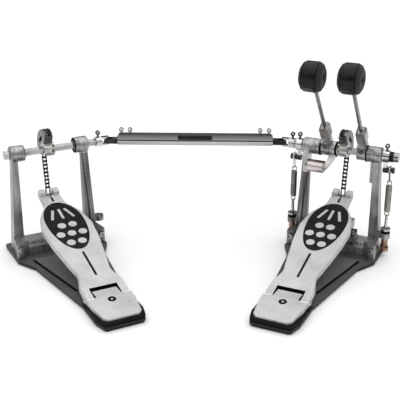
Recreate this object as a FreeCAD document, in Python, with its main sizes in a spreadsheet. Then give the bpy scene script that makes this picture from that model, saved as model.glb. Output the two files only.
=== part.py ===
import FreeCAD, Part
import math
import os
import re

import Sketcher

# Double bass drum pedal. Millimetres, +Z up, origin on the floor under the middle of the main axle.
# Each pedal has its own frame: u to the right along the axle, v forward to the drum, z up.
# The slave pedal mirrors the main one, so w is u on the main pedal and -u on the slave pedal.

Vector = FreeCAD.Vector
Placement = FreeCAD.Placement
Rotation = FreeCAD.Rotation

SIZES = {
    # Layout
    "axle_height": 172.0,
    "pedal_spacing": 474.0,
    "main_yaw": 24.2,
    "slave_yaw": 28.9,
    "joint_gap": 10.0,
    "running_fit": 0.05,
    "seat_gap": 0.02,
    "part_gap": 0.3,
    # Base plate, floor pad and heel cushion
    "pad_thickness": 3.0,
    "pad_inset": 1.5,
    "plate_thickness": 4.0,
    "plate_corner": 6.0,
    "base_half_width": 77.0,
    "base_front": 31.0,
    "base_shoulder": 43.0,
    "base_knee_half": 59.0,
    "base_knee": 78.0,
    "base_neck_half": 36.5,
    "base_neck": 228.0,
    "base_heel_half": 37.0,
    "base_heel": 283.0,
    "base_end_half": 31.0,
    "base_end": 307.0,
    "panel_rise": 1.6,
    "panel_front_half": 52.0,
    "panel_front": 52.0,
    "panel_back_half": 26.0,
    "panel_back": 186.0,
    "cushion_height": 6.0,
    "cushion_front": 247.0,
    "jaw_tongue_half": 22.0,
    "jaw_tongue_end": 56.0,
    # Posts and bridge
    "post_inset": 24.0,
    "post_top_inset": 14.0,
    "post_foot_inset": 5.0,
    "web_depth": 9.0,
    "rib_top_width": 9.5,
    "rib_top_depth": 15.0,
    "rib_foot_width": 6.5,
    "rib_foot_depth": 20.0,
    "foot_inset": 1.5,
    "foot_width": 13.5,
    "foot_front": 40.0,
    "foot_step": 29.0,
    "foot_back": 22.0,
    "foot_back_inset": 5.0,
    "foot_height": 26.0,
    "foot_round": 2.5,
    "foot_bolt_back": 14.0,
    "foot_bolt_level": 17.0,
    "foot_bolt_depth": 14.0,
    "housing_radius": 13.0,
    "housing_overhang": 2.5,
    "housing_chamfer": 1.5,
    "slave_housing_inset": 11.0,
    "stop_block_rise": 4.0,
    "stop_block_drop": 46.0,
    "stop_block_depth": 14.0,
    "bridge_back": 28.0,
    "bridge_front": 8.0,
    "bridge_height": 19.0,
    "bridge_ledge": 7.0,
    "bridge_slope": 3.0,
    "bridge_web": 6.0,
    # Axles and bearings
    "axle_hex_radius": 6.2,
    "journal_radius": 6.3,
    "bearing_radius": 9.0,
    "mid_ring_inner": 8.0,
    "mid_ring_outer": 18.5,
    "mid_ring_radius": 12.5,
    "axle_split_gap": 0.5,
    "axle_drive_inset": 2.0,
    "axle_overhang": 12.5,
    "slave_axle_overhang": 8.0,
    "bracket_drop": 25.5,
    "bracket_back": 22.5,
    "bracket_sleeve_radius": 10.0,
    "bracket_sleeve_inner": 22.5,
    "bracket_sleeve_outer": 55.5,
    "bracket_leg_width": 7.5,
    "bracket_leg_depth": 15.0,
    "mid_arm_width": 10.5,
    "mid_arm_depth": 12.0,
    "mid_arm_drop": 6.0,
    "mid_arm_bend_drop": 20.0,
    # Cam and chain
    "cam_pitch_radius": 31.0,
    "cam_disc_radius": 33.0,
    "cam_disc_thickness": 4.5,
    "cam_rim_half_width": 4.4,
    "cam_hub_radius": 11.0,
    "cam_hub_inner": 7.5,
    "cam_hub_outer": 9.5,
    "cam_screw_inset": 3.5,
    "cam_sweep": 118.0,
    "cam_below": 12.0,
    "cam_slot_radius": 3.6,
    "cam_slot_place": 20.0,
    "chain_pitch": 6.35,
    "chain_plate_radius": 2.5,
    "chain_plate_thickness": 0.9,
    "chain_inner_half": 1.9,
    "chain_pin_radius": 1.0,
    "chain_roller_radius": 1.7,
    "chain_rivet_rise": 0.3,
    # Footboard and heel plate
    "hinge_back": 232.0,
    "hinge_height": 17.0,
    "hinge_pin_radius": 3.0,
    "knuckle_radius": 6.0,
    "board_slope": 14.8,
    "board_top": 6.5,
    "board_thickness": 8.5,
    "board_rear": 12.0,
    "board_rear_half": 33.5,
    "board_heel_length": 20.0,
    "board_waist_half": 25.5,
    "board_waist": 47.0,
    "board_hip_half": 30.0,
    "board_hip": 70.0,
    "board_low_half": 38.5,
    "board_low_share": 0.58,
    "board_wide_half": 41.5,
    "board_wide": 165.0,
    "board_high_half": 35.0,
    "board_high_share": 0.524,
    "board_neck_half": 17.5,
    "board_neck": 228.0,
    "board_toe_half": 16.5,
    "board_toe": 266.0,
    "board_round_share": 0.535,
    "board_edge_round": 2.0,
    "toe_ear_rise": 5.0,
    "toe_ear_length": 13.0,
    "toe_slot_half": 6.6,
    "toe_slot_gap": 2.2,
    "toe_pin_place": 261.0,
    "toe_pin_level": 2.0,
    "toe_pin_radius": 2.2,
    "shackle_clearance": 1.6,
    "shackle_back": 0.8,
    "shackle_lift": 0.7,
    "shackle_wall": 2.0,
    "grip_half_width": 31.5,
    "grip_lead": 13.0,
    "grip_top_reach": 52.0,
    "grip_low_reach": 74.0,
    "grip_recess": 1.2,
    "grip_thickness": 1.6,
    "grip_gap": 0.25,
    "stud_radius": 6.8,
    "stud_side_step": 18.0,
    "stud_row_step": 22.3,
    "stud_drop": 33.0,
    "bar_width": 4.4,
    "bar_length": 26.0,
    "bar_lead": 20.0,
    "bar_side_step": 14.0,
    "bar_fan_angle": 19.0,
    "line_width": 2.4,
    "line_depth": 0.8,
    "long_line_start": 38.0,
    "long_line_end": 97.0,
    "short_line_start": 234.0,
    "short_line_end": 247.0,
    "tongue_half": 19.0,
    "tongue_gap": 2.8,
    "tongue_front": 6.0,
    "tongue_clearance": 7.0,
    "heel_seam": 13.5,
    "heel_plate_top": 23.0,
    "heel_plate_end_top": 16.0,
    "heel_plate_half": 33.5,
    "heel_plate_bend": 264.0,
    "heel_plate_low_half": 29.0,
    "heel_plate_low": 296.0,
    "heel_plate_end_half": 23.5,
    "heel_plate_end": 304.0,
    "heel_screw_back": 257.0,
    "heel_screw_head_radius": 5.0,
    "heel_screw_recess": 2.5,
    "screw_radius": 2.4,
    "bolt_head_radius": 4.5,
    "bolt_head_height": 4.0,
    # Beaters
    "right_beater_inset": 20.0,
    "left_beater_side": 26.5,
    "right_beater_reach": 169.5,
    "left_beater_reach": 165.0,
    "beater_lean": 37.3,
    "rod_offset": 10.5,
    "rod_radius": 3.2,
    "rod_bottom": 2.0,
    "hub_ring_radius": 12.0,
    "hub_width": 14.0,
    "hub_gap": 0.5,
    "hub_neck_width": 12.0,
    "hub_neck_back": 6.0,
    "hub_wall": 2.3,
    "hub_block_width": 15.0,
    "hub_block_depth": 15.0,
    "hub_block_bottom": 17.0,
    "hub_block_top": 47.0,
    "hub_chamfer": 3.5,
    "hub_screw_level": 13.0,
    "head_radius": 23.2,
    "head_core_half": 10.0,
    "head_half_width": 17.5,
    "head_felt_outer": 15.0,
    "head_felt_inner": 22.6,
    "head_socket_depth": 17.0,
    "head_bore_radius": 4.5,
    # Springs, rockers and adjusters
    "rocker_gap": 1.5,
    "rocker_length": 10.5,
    "rocker_radius": 10.0,
    "rocker_arm_width": 11.0,
    "rocker_arm_thickness": 6.0,
    "rocker_drop": 22.0,
    "rocker_pin_radius": 3.0,
    "rocker_pin_head_radius": 5.2,
    "rocker_pin_head_length": 3.0,
    "spring_step": 13.0,
    "link_thickness": 2.4,
    "link_eye_clearance": 1.9,
    "link_wall": 2.4,
    "link_hole_radius": 1.7,
    "link_tip_radius": 3.8,
    "link_hole_lift": 0.3,
    "spring_radius": 4.4,
    "spring_wire_radius": 0.8,
    "spring_pitch": 2.3,
    "spring_eye_radius": 3.6,
    "spring_eye_lead": 5.0,
    "spring_hang": 26.0,
    "spring_coil_bottom": 80.0,
    "hook_wire_radius": 1.1,
    "hook_ring_radius": 3.6,
    "adjuster_radius": 2.4,
    "adjuster_bottom": 9.5,
    "bracket_ring_radius": 8.0,
    "bracket_ring_bottom": 33.0,
    "bracket_ring_height": 9.0,
    "bracket_arm_depth": 10.0,
    "flange_nut_radius": 8.0,
    "flange_nut_height": 3.0,
    "flange_nut_neck_radius": 5.0,
    "flange_nut_neck_height": 5.0,
    "barrel_nut_radius": 5.5,
    "barrel_nut_foot_radius": 7.0,
    "barrel_nut_foot_height": 7.0,
    # Drive shaft and universal joints
    "yoke_hub_radius": 8.5,
    "yoke_gap": 2.5,
    "yoke_hub_length": 10.0,
    "yoke_inner_half": 4.6,
    "yoke_arm_thickness": 2.6,
    "yoke_ear_radius": 3.8,
    "cross_pin_radius": 1.6,
    "cross_half": 3.0,
    "cross_pin_half": 7.0,
    "cross_pin_clearance": 0.5,
    "drive_yoke_hub_radius": 6.0,
    "drive_yoke_hub_start": 10.0,
    "drive_rod_radius": 5.0,
    "drive_rod_insert": 100.0,
    "tube_end": 19.0,
    "tube_fit": 0.1,
    "tube_round_radius": 7.2,
    "tube_bar_half": 6.5,
    "tube_bar_top": 12.0,
    "tube_bar_bottom": 1.5,
    "tube_bar_chamfer": 3.0,
    "tube_groove_height": 1.6,
    "tube_groove_depth": 1.0,
    "tube_groove_level": 2.4,
    "tube_screw_inset": 6.5,
    "tube_screw_step": 14.5,
    # Thumb and set screws
    "thumb_stem_radius": 1.8,
    "thumb_disc_radius": 3.9,
    "thumb_disc_thickness": 2.8,
    "thumb_disc_rise": 5.2,
    "thumb_eye_radius": 1.5,
    "set_screw_radius": 2.0,
    "set_screw_recess": 1.4,
    "end_nut_radius": 7.6,
    "end_nut_length": 6.0,
    # Hoop clamp
    "clamp_pivot_front": 12.0,
    "clamp_pivot_height": 33.0,
    "clamp_pin_radius": 2.5,
    "clamp_lug_thickness": 4.0,
    "clamp_lug_round": 6.0,
    "clamp_jaw_half": 15.5,
    "clamp_jaw_thickness": 8.0,
    "clamp_jaw_front": 50.0,
    "clamp_foot_back": 29.0,
    "clamp_foot_bottom": 21.0,
    "clamp_arm_back": 31.0,
    "clamp_arm_depth": 15.0,
    "clamp_arm_end": 40.0,
    "clamp_arm_start": 15.5,
    "clamp_screw_side": 33.0,
    "clamp_screw_back": 24.5,
    "clamp_screw_radius": 3.0,
    "clamp_screw_clearance": 0.7,
    "clamp_wing_half": 7.0,
    "clamp_wing_thickness": 3.0,
    "clamp_wing_bottom": 44.0,
    "clamp_wing_top": 49.5,
}

# Sizes that follow from others, as formulas of the same sheet
DERIVED = {
    "post_inner": "base_half_width - post_inset",
    "post_top_outer": "base_half_width - post_top_inset",
    "right_beater_side": "post_inner - right_beater_inset",
    "slave_housing_inner": "post_inner - slave_housing_inset",
    "post_foot_outer": "base_half_width - post_foot_inset",
    "foot_outer": "base_half_width - foot_inset",
    "foot_inner": "foot_outer - foot_width",
    "housing_end": "post_top_outer + housing_overhang",
    "slave_housing_outer": "post_top_outer + housing_chamfer",
    "slave_axle_end": "slave_housing_outer + slave_axle_overhang",
    "rocker_inner": "housing_end + rocker_gap",
    "spring_side": "rocker_inner + spring_step",
    "axle_outer_end": "rocker_inner + rocker_length + axle_overhang",
    "yoke_hub_start": "rocker_inner + rocker_length + yoke_gap",
    "axle_drive_end": "yoke_hub_start + yoke_hub_length - axle_drive_inset",
    "joint_offset": "yoke_hub_start + yoke_hub_length + joint_gap",
    "slave_back": "joint_offset * (sin(slave_yaw) - sin(main_yaw))",
    "stop_block_bottom": "axle_height - stop_block_drop",
    "spring_coil_top": "axle_height - rocker_drop - spring_hang",
    "spring_turns": "round((spring_coil_top - spring_coil_bottom) / spring_pitch)",
    "board_low": "board_hip + board_low_share * (board_wide - board_hip)",
    "board_high": "board_wide + board_high_share * (board_neck - board_wide)",
    "board_side_round": "board_round_share * (board_neck - board_wide)",
    "grip_centre": "board_wide + grip_lead",
    "stud_centre": "grip_centre - stud_drop",
    "bar_centre": "grip_centre + bar_lead",
}

document = FreeCAD.newDocument("double_pedal")
sizes = document.addObject("Spreadsheet::Sheet", "sizes")
for row, (alias, number) in enumerate(SIZES.items(), start=1):
    sizes.set(f"A{row}", alias)
    sizes.set(f"B{row}", str(number))
    sizes.setAlias(f"B{row}", alias)
document.recompute()
for row, (alias, formula) in enumerate(DERIVED.items(), start=len(SIZES) + 1):
    sizes.set(f"A{row}", alias)
    sizes.set(f"B{row}", f"={formula}")
    sizes.setAlias(f"B{row}", alias)
    document.recompute()

nodes = {}
ALONG = {
    "u": Rotation(Vector(0, 1, 0), 90),
    "v": Rotation(Vector(1, 0, 0), -90),
    "z": Rotation(),
}
BASE_TOP = "(pad_thickness + plate_thickness)"


def linked(text):
    """Point every size named in an expression at its cell in the sheet."""
    def cell(match):
        word = match.group(0)
        return f"sizes.{word}" if word in SIZES or word in DERIVED else word
    return re.sub(r"[a-z_][a-z_0-9]*", cell, str(text))


def bind(item, **expressions):
    """Bind properties of a document object to expressions on the sheet."""
    for name, text in expressions.items():
        item.setExpression(name, linked(text))
    return item


def move(item, at, turn=None):
    """Hold an object's place by expressions, after an optional fixed turn."""
    if turn is not None:
        item.Placement = Placement(Vector(), turn)
    for letter, text in zip("xyz", at):
        item.setExpression(f"Placement.Base.{letter}", linked(text))
    return item


def block(name, low, size):
    """Box from its lowest corner and its three sizes."""
    item = document.addObject("Part::Box", name)
    bind(item, Length=size[0], Width=size[1], Height=size[2])
    return move(item, low)


def cylinder(name, radius, length, at, axis="z"):
    """Cylinder that starts at a point and runs along u, v or z."""
    item = document.addObject("Part::Cylinder", name)
    bind(item, Radius=radius, Height=length)
    return move(item, at, ALONG[axis])


def cone(name, radius_start, radius_end, length, at, axis="z"):
    """Cone frustum that starts at a point and runs along u, v or z."""
    item = document.addObject("Part::Cone", name)
    bind(item, Radius1=radius_start, Radius2=radius_end, Height=length)
    return move(item, at, ALONG[axis])


def taper(name, bottom, top, start, end):
    """Tapered column between two rectangles, each (u middle, u width, v depth)."""
    item = document.addObject("Part::Wedge", name)
    bind(item, Ymin=start, Ymax=end)
    bind(item, Xmin=f"({bottom[0]}) - ({bottom[1]}) / 2", Xmax=f"({bottom[0]}) + ({bottom[1]}) / 2")
    bind(item, X2min=f"({top[0]}) - ({top[1]}) / 2", X2max=f"({top[0]}) + ({top[1]}) / 2")
    bind(item, Zmin=f"-({bottom[2]}) / 2", Zmax=f"({bottom[2]}) / 2")
    bind(item, Z2min=f"-({top[2]}) / 2", Z2max=f"({top[2]}) / 2")
    item.Placement = Placement(Vector(), Rotation(Vector(1, 0, 0), 90))
    return item


def union(name, *items):
    """One solid made of several overlapping ones."""
    item = document.addObject("Part::MultiFuse", name)
    item.Shapes = list(items)
    item.Refine = True
    return item


def minus(name, base, *tools):
    """Solid with one or more tools cut out of it."""
    item = document.addObject("Part::Cut", name)
    item.Base = base
    item.Tool = tools[0] if len(tools) == 1 else union(f"{name}_tools", *tools)
    return item


def group(name, items):
    """Several separate solids kept as one sub-part."""
    item = document.addObject("Part::Compound", name)
    item.Links = list(items)
    return item


def solid(name, shape):
    """Sub-part whose shape is worked out in code from the sheet."""
    item = document.addObject("Part::Feature", name)
    item.Shape = shape
    return item


def add_node(label, item, place=Placement()):
    """Register a finished sub-part under its name and put it in its frame."""
    item.Label = label
    item.Placement = place
    nodes[label] = item
    return item


def mirrored(half):
    """Closed outline from its right half, which runs from the front to the back."""
    left = [(f"-({x})", y) for x, y in reversed(half)]
    return half + left


def profile(body, name, plane, corners, level="0"):
    """Sketch of a closed outline whose corners are each held by two distances."""
    sketch = body.newObject("Sketcher::SketchObject", name)
    support = [part for part in body.Origin.OriginFeatures if part.Role == plane][0]
    sketch.AttachmentSupport = [(support, "")]
    sketch.MapMode = "FlatFace"
    sketch.setExpression("AttachmentOffset.Base.z", linked(level))
    count = len(corners)
    start = [Rotation(Vector(0, 0, 1), 360.0 * index / count).multVec(Vector(1, 0, 0)) for index in range(count)]
    for index in range(count):
        sketch.addGeometry(Part.LineSegment(start[index], start[(index + 1) % count]), False)
    for index in range(count):
        sketch.addConstraint(Sketcher.Constraint("Coincident", index, 2, (index + 1) % count, 1))
    for index, corner in enumerate(corners):
        for kind, text in zip(("DistanceX", "DistanceY"), corner):
            place = sketch.addConstraint(Sketcher.Constraint(kind, -1, 1, index, 1, 1.0))
            sketch.setExpression(f"Constraints[{place}]", linked(text))
    return sketch


def pad(body, name, sketch, length, midplane=False, reverse=False):
    """Pad of a sketch by a length from the sheet."""
    feature = body.newObject("PartDesign::Pad", name)
    feature.Profile = sketch
    feature.SideType = "Symmetric" if midplane else "One side"
    feature.Reversed = reverse
    bind(feature, Length=length)
    document.recompute()
    return feature


def fillet(body, name, feature, radius, wanted):
    """Round the edges of a feature that a test picks out."""
    edges = [f"Edge{index}" for index, edge in enumerate(feature.Shape.Edges, start=1) if wanted(edge)]
    item = body.newObject("PartDesign::Fillet", name)
    item.Base = (feature, edges)
    bind(item, Radius=radius)
    document.recompute()
    return item


def is_upright(edge):
    """Tell whether a straight edge stands along z."""
    return edge.Curve.TypeId == "Part::GeomLine" and abs(edge.Curve.Direction.z) > 0.99


def new_body(name):
    """Empty design body."""
    return document.addObject("PartDesign::Body", name)


class Pedal:
    """One of the two pedals: its name, its mirror sign and its frame."""

    def __init__(self, name, out, place):
        self.name = name
        self.out = out
        self.place = place

    def label(self, piece):
        """Name of a sub-part of this pedal."""
        return f"{self.name}_{piece}"

    def at(self, w):
        """Expression of u for a mirrored coordinate w."""
        return f"{self.out} * ({w})"

    def span(self, low, high):
        """Lower u and length of a stretch from w low to w high."""
        start = low if self.out > 0 else f"-({high})"
        return f"({start})", f"(({high}) - ({low}))"

    def barrel(self, name, radius, low, high, v="0", z="axle_height"):
        """Cylinder along the axle from w low to w high."""
        start, length = self.span(low, high)
        return cylinder(name, radius, length, (start, v, z), "u")

    def box(self, name, w_range, v_range, z_range):
        """Box between two values of w, v and z."""
        start, length = self.span(*w_range)
        size = (length, f"({v_range[1]}) - ({v_range[0]})", f"({z_range[1]}) - ({z_range[0]})")
        return block(name, (start, v_range[0], z_range[0]), size)


upright = Vector(0, 0, 1)
MAIN = Pedal("main", 1, Placement(Vector(), Rotation(upright, -sizes.main_yaw)))
SLAVE = Pedal("slave", -1, Placement(Vector(-sizes.pedal_spacing, -sizes.slave_back, 0),
                                     Rotation(upright, sizes.slave_yaw)))


def board_frame(pedal):
    """Frame of a footboard: origin on the hinge axis, y up the slope."""
    local = Placement(Vector(0, -sizes.hinge_back, sizes.hinge_height),
                      Rotation(Vector(1, 0, 0), sizes.board_slope))
    return pedal.place.multiply(local)


def rod_frame(side, label):
    """Frame of a beater on the main axle: origin on the axle, z along the rod."""
    local = Placement(Vector(side * sizes.get(f"{label}_beater_side"), 0, sizes.axle_height),
                      Rotation(Vector(1, 0, 0), sizes.beater_lean))
    return MAIN.place.multiply(local)


def base_outline(inset):
    """Right half of the base plate, drawn in by an inset."""
    return [
        (f"base_half_width - {inset}", f"base_front - {inset}"),
        (f"base_half_width - {inset}", f"-base_shoulder + {inset}"),
        (f"base_knee_half - {inset}", "-base_knee"),
        (f"base_neck_half - {inset}", "-base_neck"),
        (f"base_heel_half - {inset}", "-base_heel"),
        (f"base_end_half - {inset}", f"-base_end + {inset}"),
    ]


def make_base(pedal):
    """Base plate with a raised panel, floor pad and heel cushion."""
    name = pedal.label
    body = new_body(name("plate_body"))
    half = base_outline("0")
    if pedal is MAIN:
        half = [("jaw_tongue_half", "jaw_tongue_end"), ("jaw_tongue_half", "base_front")] + half
    outline = profile(body, name("plate_outline"), "XY_Plane", mirrored(half), "pad_thickness")
    plate = pad(body, name("plate_pad"), outline, "plate_thickness")
    plate = fillet(body, name("plate_round"), plate, "plate_corner", is_upright)
    panel = profile(body, name("panel_outline"), "XY_Plane", mirrored([
        ("panel_front_half", "-panel_front"), ("panel_back_half", "-panel_back")]), BASE_TOP)
    pad(body, name("panel_pad"), panel, "panel_rise")
    holes = [cylinder(name(f"plate_hole_{index}"), "screw_radius + part_gap", "plate_thickness",
                      (pedal.at(w), v, "pad_thickness")) for index, (w, v) in enumerate(bolt_places(pedal))]
    add_node(name("base_plate"), minus(name("base_plate_cut"), body, *holes), pedal.place)

    mat = new_body(name("pad_body"))
    outline = profile(mat, name("pad_outline"), "XY_Plane", mirrored(base_outline("pad_inset")))
    mat_pad = pad(mat, name("pad_sheet"), outline, "pad_thickness")
    fillet(mat, name("pad_round"), mat_pad, "plate_corner - pad_inset", is_upright)
    cushion = new_body(name("cushion_body"))
    outline = profile(cushion, name("cushion_outline"), "XY_Plane", mirrored([
        ("base_heel_half", "-cushion_front"), ("base_heel_half", "-base_heel"),
        ("base_end_half", "-base_end")]), BASE_TOP)
    block_pad = pad(cushion, name("cushion_pad"), outline, "cushion_height")
    fillet(cushion, name("cushion_round"), block_pad, "plate_corner", is_upright)
    hole = cylinder(name("cushion_hole"), "screw_radius + part_gap", "cushion_height",
                    ("0", "-heel_screw_back", BASE_TOP))
    pieces = [mat, minus(name("cushion_cut"), cushion, hole)]
    add_node(name("floor_pad"), group(name("pad_group"), pieces), pedal.place)


def bolt_places(pedal):
    """Places (w, v) of the bolts that hold the post feet on the plate."""
    side = "(post_inner + foot_inner) / 2 + bolt_head_radius / 2"
    return [(f"{sign} * ({side})", "foot_bolt_back") for sign in (1, -1)]


def housing_span(pedal, side):
    """Inner and outer end of a bearing housing, measured from the pedal's middle."""
    if pedal is SLAVE:
        return "slave_housing_inner", "slave_housing_outer"
    label = "right" if side > 0 else "left"
    return f"({label}_beater_side + hub_block_width / 2 + hub_gap)", "housing_end"


def make_foot(half, name):
    """Foot of a post: a block beside the bridge that runs out to the plate's front corner."""
    body = new_body(f"{name}_foot_body")
    corners = [
        ("foot_inner", "-foot_front"), ("foot_outer", "-foot_front"),
        ("post_foot_outer - foot_back_inset", "foot_back"), ("post_inner", "foot_back"),
        ("post_inner", "-foot_step"), ("foot_inner", "-foot_step"),
    ]
    outline = profile(body, f"{name}_foot_outline", "XY_Plane", [(half.at(w), v) for w, v in corners], BASE_TOP)
    block_pad = pad(body, f"{name}_foot_pad", outline, "foot_height")
    fillet(body, f"{name}_foot_corners", block_pad, "foot_round", is_upright)
    return body


def make_post(pedal, side, label, extras):
    """Cast post: foot, web, outer rib and bearing housing. side is its sign in u."""
    name = f"{pedal.name}_{label}"
    half = Pedal(name, side, pedal.place)
    top = "axle_height - housing_radius / 2"
    rib_low, rib_high = "post_foot_outer - rib_foot_width / 2", "post_top_outer - rib_top_width / 2"
    rib = taper(f"{name}_rib", (half.at(rib_low), "rib_foot_width", "rib_foot_depth"),
                (half.at(rib_high), "rib_top_width", "rib_top_depth"), BASE_TOP, top)
    web = taper(f"{name}_web", (half.at(f"(post_inner + {rib_low}) / 2"), f"{rib_low} - post_inner", "web_depth"),
                (half.at(f"(post_inner + {rib_high}) / 2"), f"{rib_high} - post_inner", "web_depth"), BASE_TOP, top)
    inner, outer = housing_span(pedal, side)
    start, length = half.span(inner, outer)
    low_end = f"{start} + housing_chamfer"
    high_end = f"{start} + {length} - housing_chamfer"
    slim = "housing_radius - housing_chamfer"
    housing = [
        cylinder(f"{name}_housing", "housing_radius", f"{length} - 2 * housing_chamfer",
                 (low_end, "0", "axle_height"), "u"),
        cone(f"{name}_housing_low", slim, "housing_radius", "housing_chamfer", (start, "0", "axle_height"), "u"),
        cone(f"{name}_housing_high", "housing_radius", slim, "housing_chamfer", (high_end, "0", "axle_height"), "u"),
    ]
    casting = union(f"{name}_casting", make_foot(half, name), rib, web, *housing, *extras)
    tools = [cylinder(f"{name}_bore", "bearing_radius + seat_gap", f"{length} + 2",
                      (f"{start} - 1", "0", "axle_height"), "u")]
    for index, (w, v) in enumerate(bolt_places(pedal)):
        if w.startswith("-") == (side < 0):
            tools.append(cylinder(f"{name}_bolt_hole_{index}", "screw_radius + part_gap", "foot_height + 2",
                                  (w, v, f"{BASE_TOP} - 1")))
    tools.append(cylinder(f"{name}_front_hole", "screw_radius + part_gap", "foot_bolt_depth + 2",
                          (half.at("(foot_inner + foot_outer) / 2"), "-foot_front - 1",
                           f"{BASE_TOP} + foot_bolt_level"), "v"))
    return casting, tools, name


def spring_boss(pedal, side, name, bored):
    """Outrigger on a post that carries a spring adjuster, and its bore."""
    post = "post_inner + web_depth / 2"
    low = post if side > 0 else "-spring_side"
    arm = block(f"{name}_boss_arm", (low, "-bracket_arm_depth / 2", "bracket_ring_bottom"),
                (f"spring_side - ({post})", "bracket_arm_depth", "bracket_ring_height"))
    ring = cylinder(f"{name}_boss_ring", "bracket_ring_radius", "bracket_ring_height",
                    (f"{side} * spring_side", "0", "bracket_ring_bottom"))
    hole = cylinder(f"{name}_boss_bore", "adjuster_radius + part_gap", "bracket_ring_height + 2",
                    (f"{side} * spring_side", "0", "bracket_ring_bottom - 1"))
    return [arm, ring], [hole] if bored else []


def make_frame(pedal):
    """Posts, bridge, bearings, heel plate, hinge pin and fasteners of one pedal."""
    name = pedal.label
    for side, label in ((1, "right_post"), (-1, "left_post")):
        extras, bores = [], []
        if pedal is MAIN or side > 0:
            extras, bores = spring_boss(pedal, side, name(label), pedal is MAIN)
        if pedal is MAIN and side > 0:
            face = "post_inner - stop_block_rise"
            extras.append(block(name("stop_block"), (face, "-stop_block_depth / 2", "stop_block_bottom"),
                                ("stop_block_rise + rib_top_width / 2", "stop_block_depth",
                                 "axle_height - stop_block_bottom")))
        casting, tools, full = make_post(pedal, side, label, extras)
        add_node(name(label), minus(f"{full}_cut", casting, *tools, *bores), pedal.place)

    body = new_body(name("bridge_body"))
    top = f"{BASE_TOP} + bridge_height"
    section = profile(body, name("bridge_section"), "YZ_Plane", [
        ("-bridge_back", BASE_TOP), ("bridge_front", BASE_TOP), ("bridge_front", top),
        ("-bridge_back + bridge_slope + bridge_ledge", top), ("-bridge_back + bridge_ledge", f"{top} - bridge_web"),
        ("-bridge_back", f"{top} - bridge_web")])
    pad(body, name("bridge_pad"), section, "2 * (post_inner - part_gap)", midplane=True)
    bridge = body
    if pedal is MAIN:
        bridge = clamp_seat(body)
    add_node(name("bridge"), bridge, pedal.place)

    rings = []
    for index, side in enumerate((1, -1)):
        half = Pedal(pedal.name, side, pedal.place)
        rings.append(bush(name(f"bush_{index}"), *half.span(*housing_span(pedal, side))))
    if pedal is MAIN:
        rings.append(bush("mid_bush", "-mid_ring_outer", "mid_ring_outer - mid_ring_inner"))
    add_node(name("bearings"), group(name("bearing_group"), rings), pedal.place)
    make_heel(pedal)
    make_fasteners(pedal)


def bush(name, start, length):
    """Plain bearing bush on the axle line."""
    ring = cylinder(f"{name}_ring", "bearing_radius", length, (start, "0", "axle_height"), "u")
    bore = cylinder(f"{name}_bore", "journal_radius + running_fit", f"({length}) + 2",
                    (f"({start}) - 1", "0", "axle_height"), "u")
    return minus(name, ring, bore)


def clamp_seat(body):
    """Bridge of the main pedal with the two lugs that hold the hoop clamp's pivot pin."""
    lugs = []
    low_v = "clamp_pivot_front - clamp_lug_round"
    for index, side in enumerate((1, -1)):
        inner = "clamp_jaw_half + part_gap"
        low = inner if side > 0 else f"-({inner}) - clamp_lug_thickness"
        lugs.append(block(f"clamp_lug_{index}", (low, low_v, BASE_TOP),
                          ("clamp_lug_thickness", "2 * clamp_lug_round",
                           f"clamp_pivot_height + clamp_lug_round - {BASE_TOP}")))
    reach = "clamp_jaw_half + clamp_lug_thickness + 2"
    bore = cylinder("clamp_lug_bore", "clamp_pin_radius + seat_gap", f"2 * ({reach})",
                    (f"-({reach})", "clamp_pivot_front", "clamp_pivot_height"), "u")
    return minus("bridge_cut", union("bridge_lugs", body, *lugs), bore)


def make_heel(pedal):
    """Heel plate with its hinge tongue, and the hinge pin."""
    name = pedal.label
    body = new_body(name("heel_body"))
    seam = "-hinge_back - heel_seam"
    bottom = f"({BASE_TOP} + cushion_height)"
    outline = profile(body, name("heel_outline"), "XY_Plane", mirrored([
        ("tongue_half", "-hinge_back + tongue_front"), ("tongue_half", seam), ("heel_plate_half", seam),
        ("heel_plate_half", "-heel_plate_bend"), ("heel_plate_low_half", "-heel_plate_low"),
        ("heel_plate_end_half", "-heel_plate_end + 2")]), bottom)
    pad(body, name("heel_pad"), outline, f"heel_plate_top - {bottom}")
    slope = profile(body, name("heel_slope"), "YZ_Plane", [
        (seam, "heel_plate_top"), ("-heel_plate_end", "heel_plate_end_top"), ("-heel_plate_end", "heel_plate_top + 1"),
        (seam, "heel_plate_top + 1")])
    pocket = body.newObject("PartDesign::Pocket", name("heel_slope_cut"))
    pocket.Profile = slope
    pocket.Type = "ThroughAll"
    pocket.SideType = "Symmetric"
    document.recompute()
    pin_hole = cylinder(name("heel_pin_hole"), "hinge_pin_radius + seat_gap", "2 * tongue_half + 2",
                        ("-tongue_half - 1", "-hinge_back", "hinge_height"), "u")
    screw_hole = cylinder(name("heel_screw_hole"), "screw_radius + part_gap", f"heel_plate_top - {bottom} + 2",
                          ("0", "-heel_screw_back", f"{bottom} - 1"))
    recess = cylinder(name("heel_screw_recess"), "heel_screw_head_radius + part_gap", "heel_plate_top",
                      ("0", "-heel_screw_back", "heel_plate_top - heel_screw_recess - 1"))
    add_node(name("heel_plate"), minus(name("heel_cut"), body, pin_hole, screw_hole, recess), pedal.place)
    pin = cylinder(name("hinge_rod"), "hinge_pin_radius", "2 * board_rear_half",
                   ("-board_rear_half", "-hinge_back", "hinge_height"), "u")
    add_node(name("hinge_pin"), group(name("hinge_pin_group"), [pin]), pedal.place)


def bolt(name, length, at, turn=None):
    """Socket-head bolt whose head stands on a point, upright or turned."""
    shank = cylinder(f"{name}_shank", "screw_radius", length, ("0", "0", f"-({length})"))
    head = cylinder(f"{name}_head", "bolt_head_radius", "bolt_head_height", ("0", "0", "0"))
    socket = document.addObject("Part::Prism", f"{name}_socket")
    socket.Polygon = 6
    bind(socket, Circumradius="screw_radius", Height="bolt_head_height")
    move(socket, ("0", "0", "bolt_head_height / 2"))
    return move(minus(name, union(f"{name}_body", shank, head), socket), at, turn)


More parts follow.
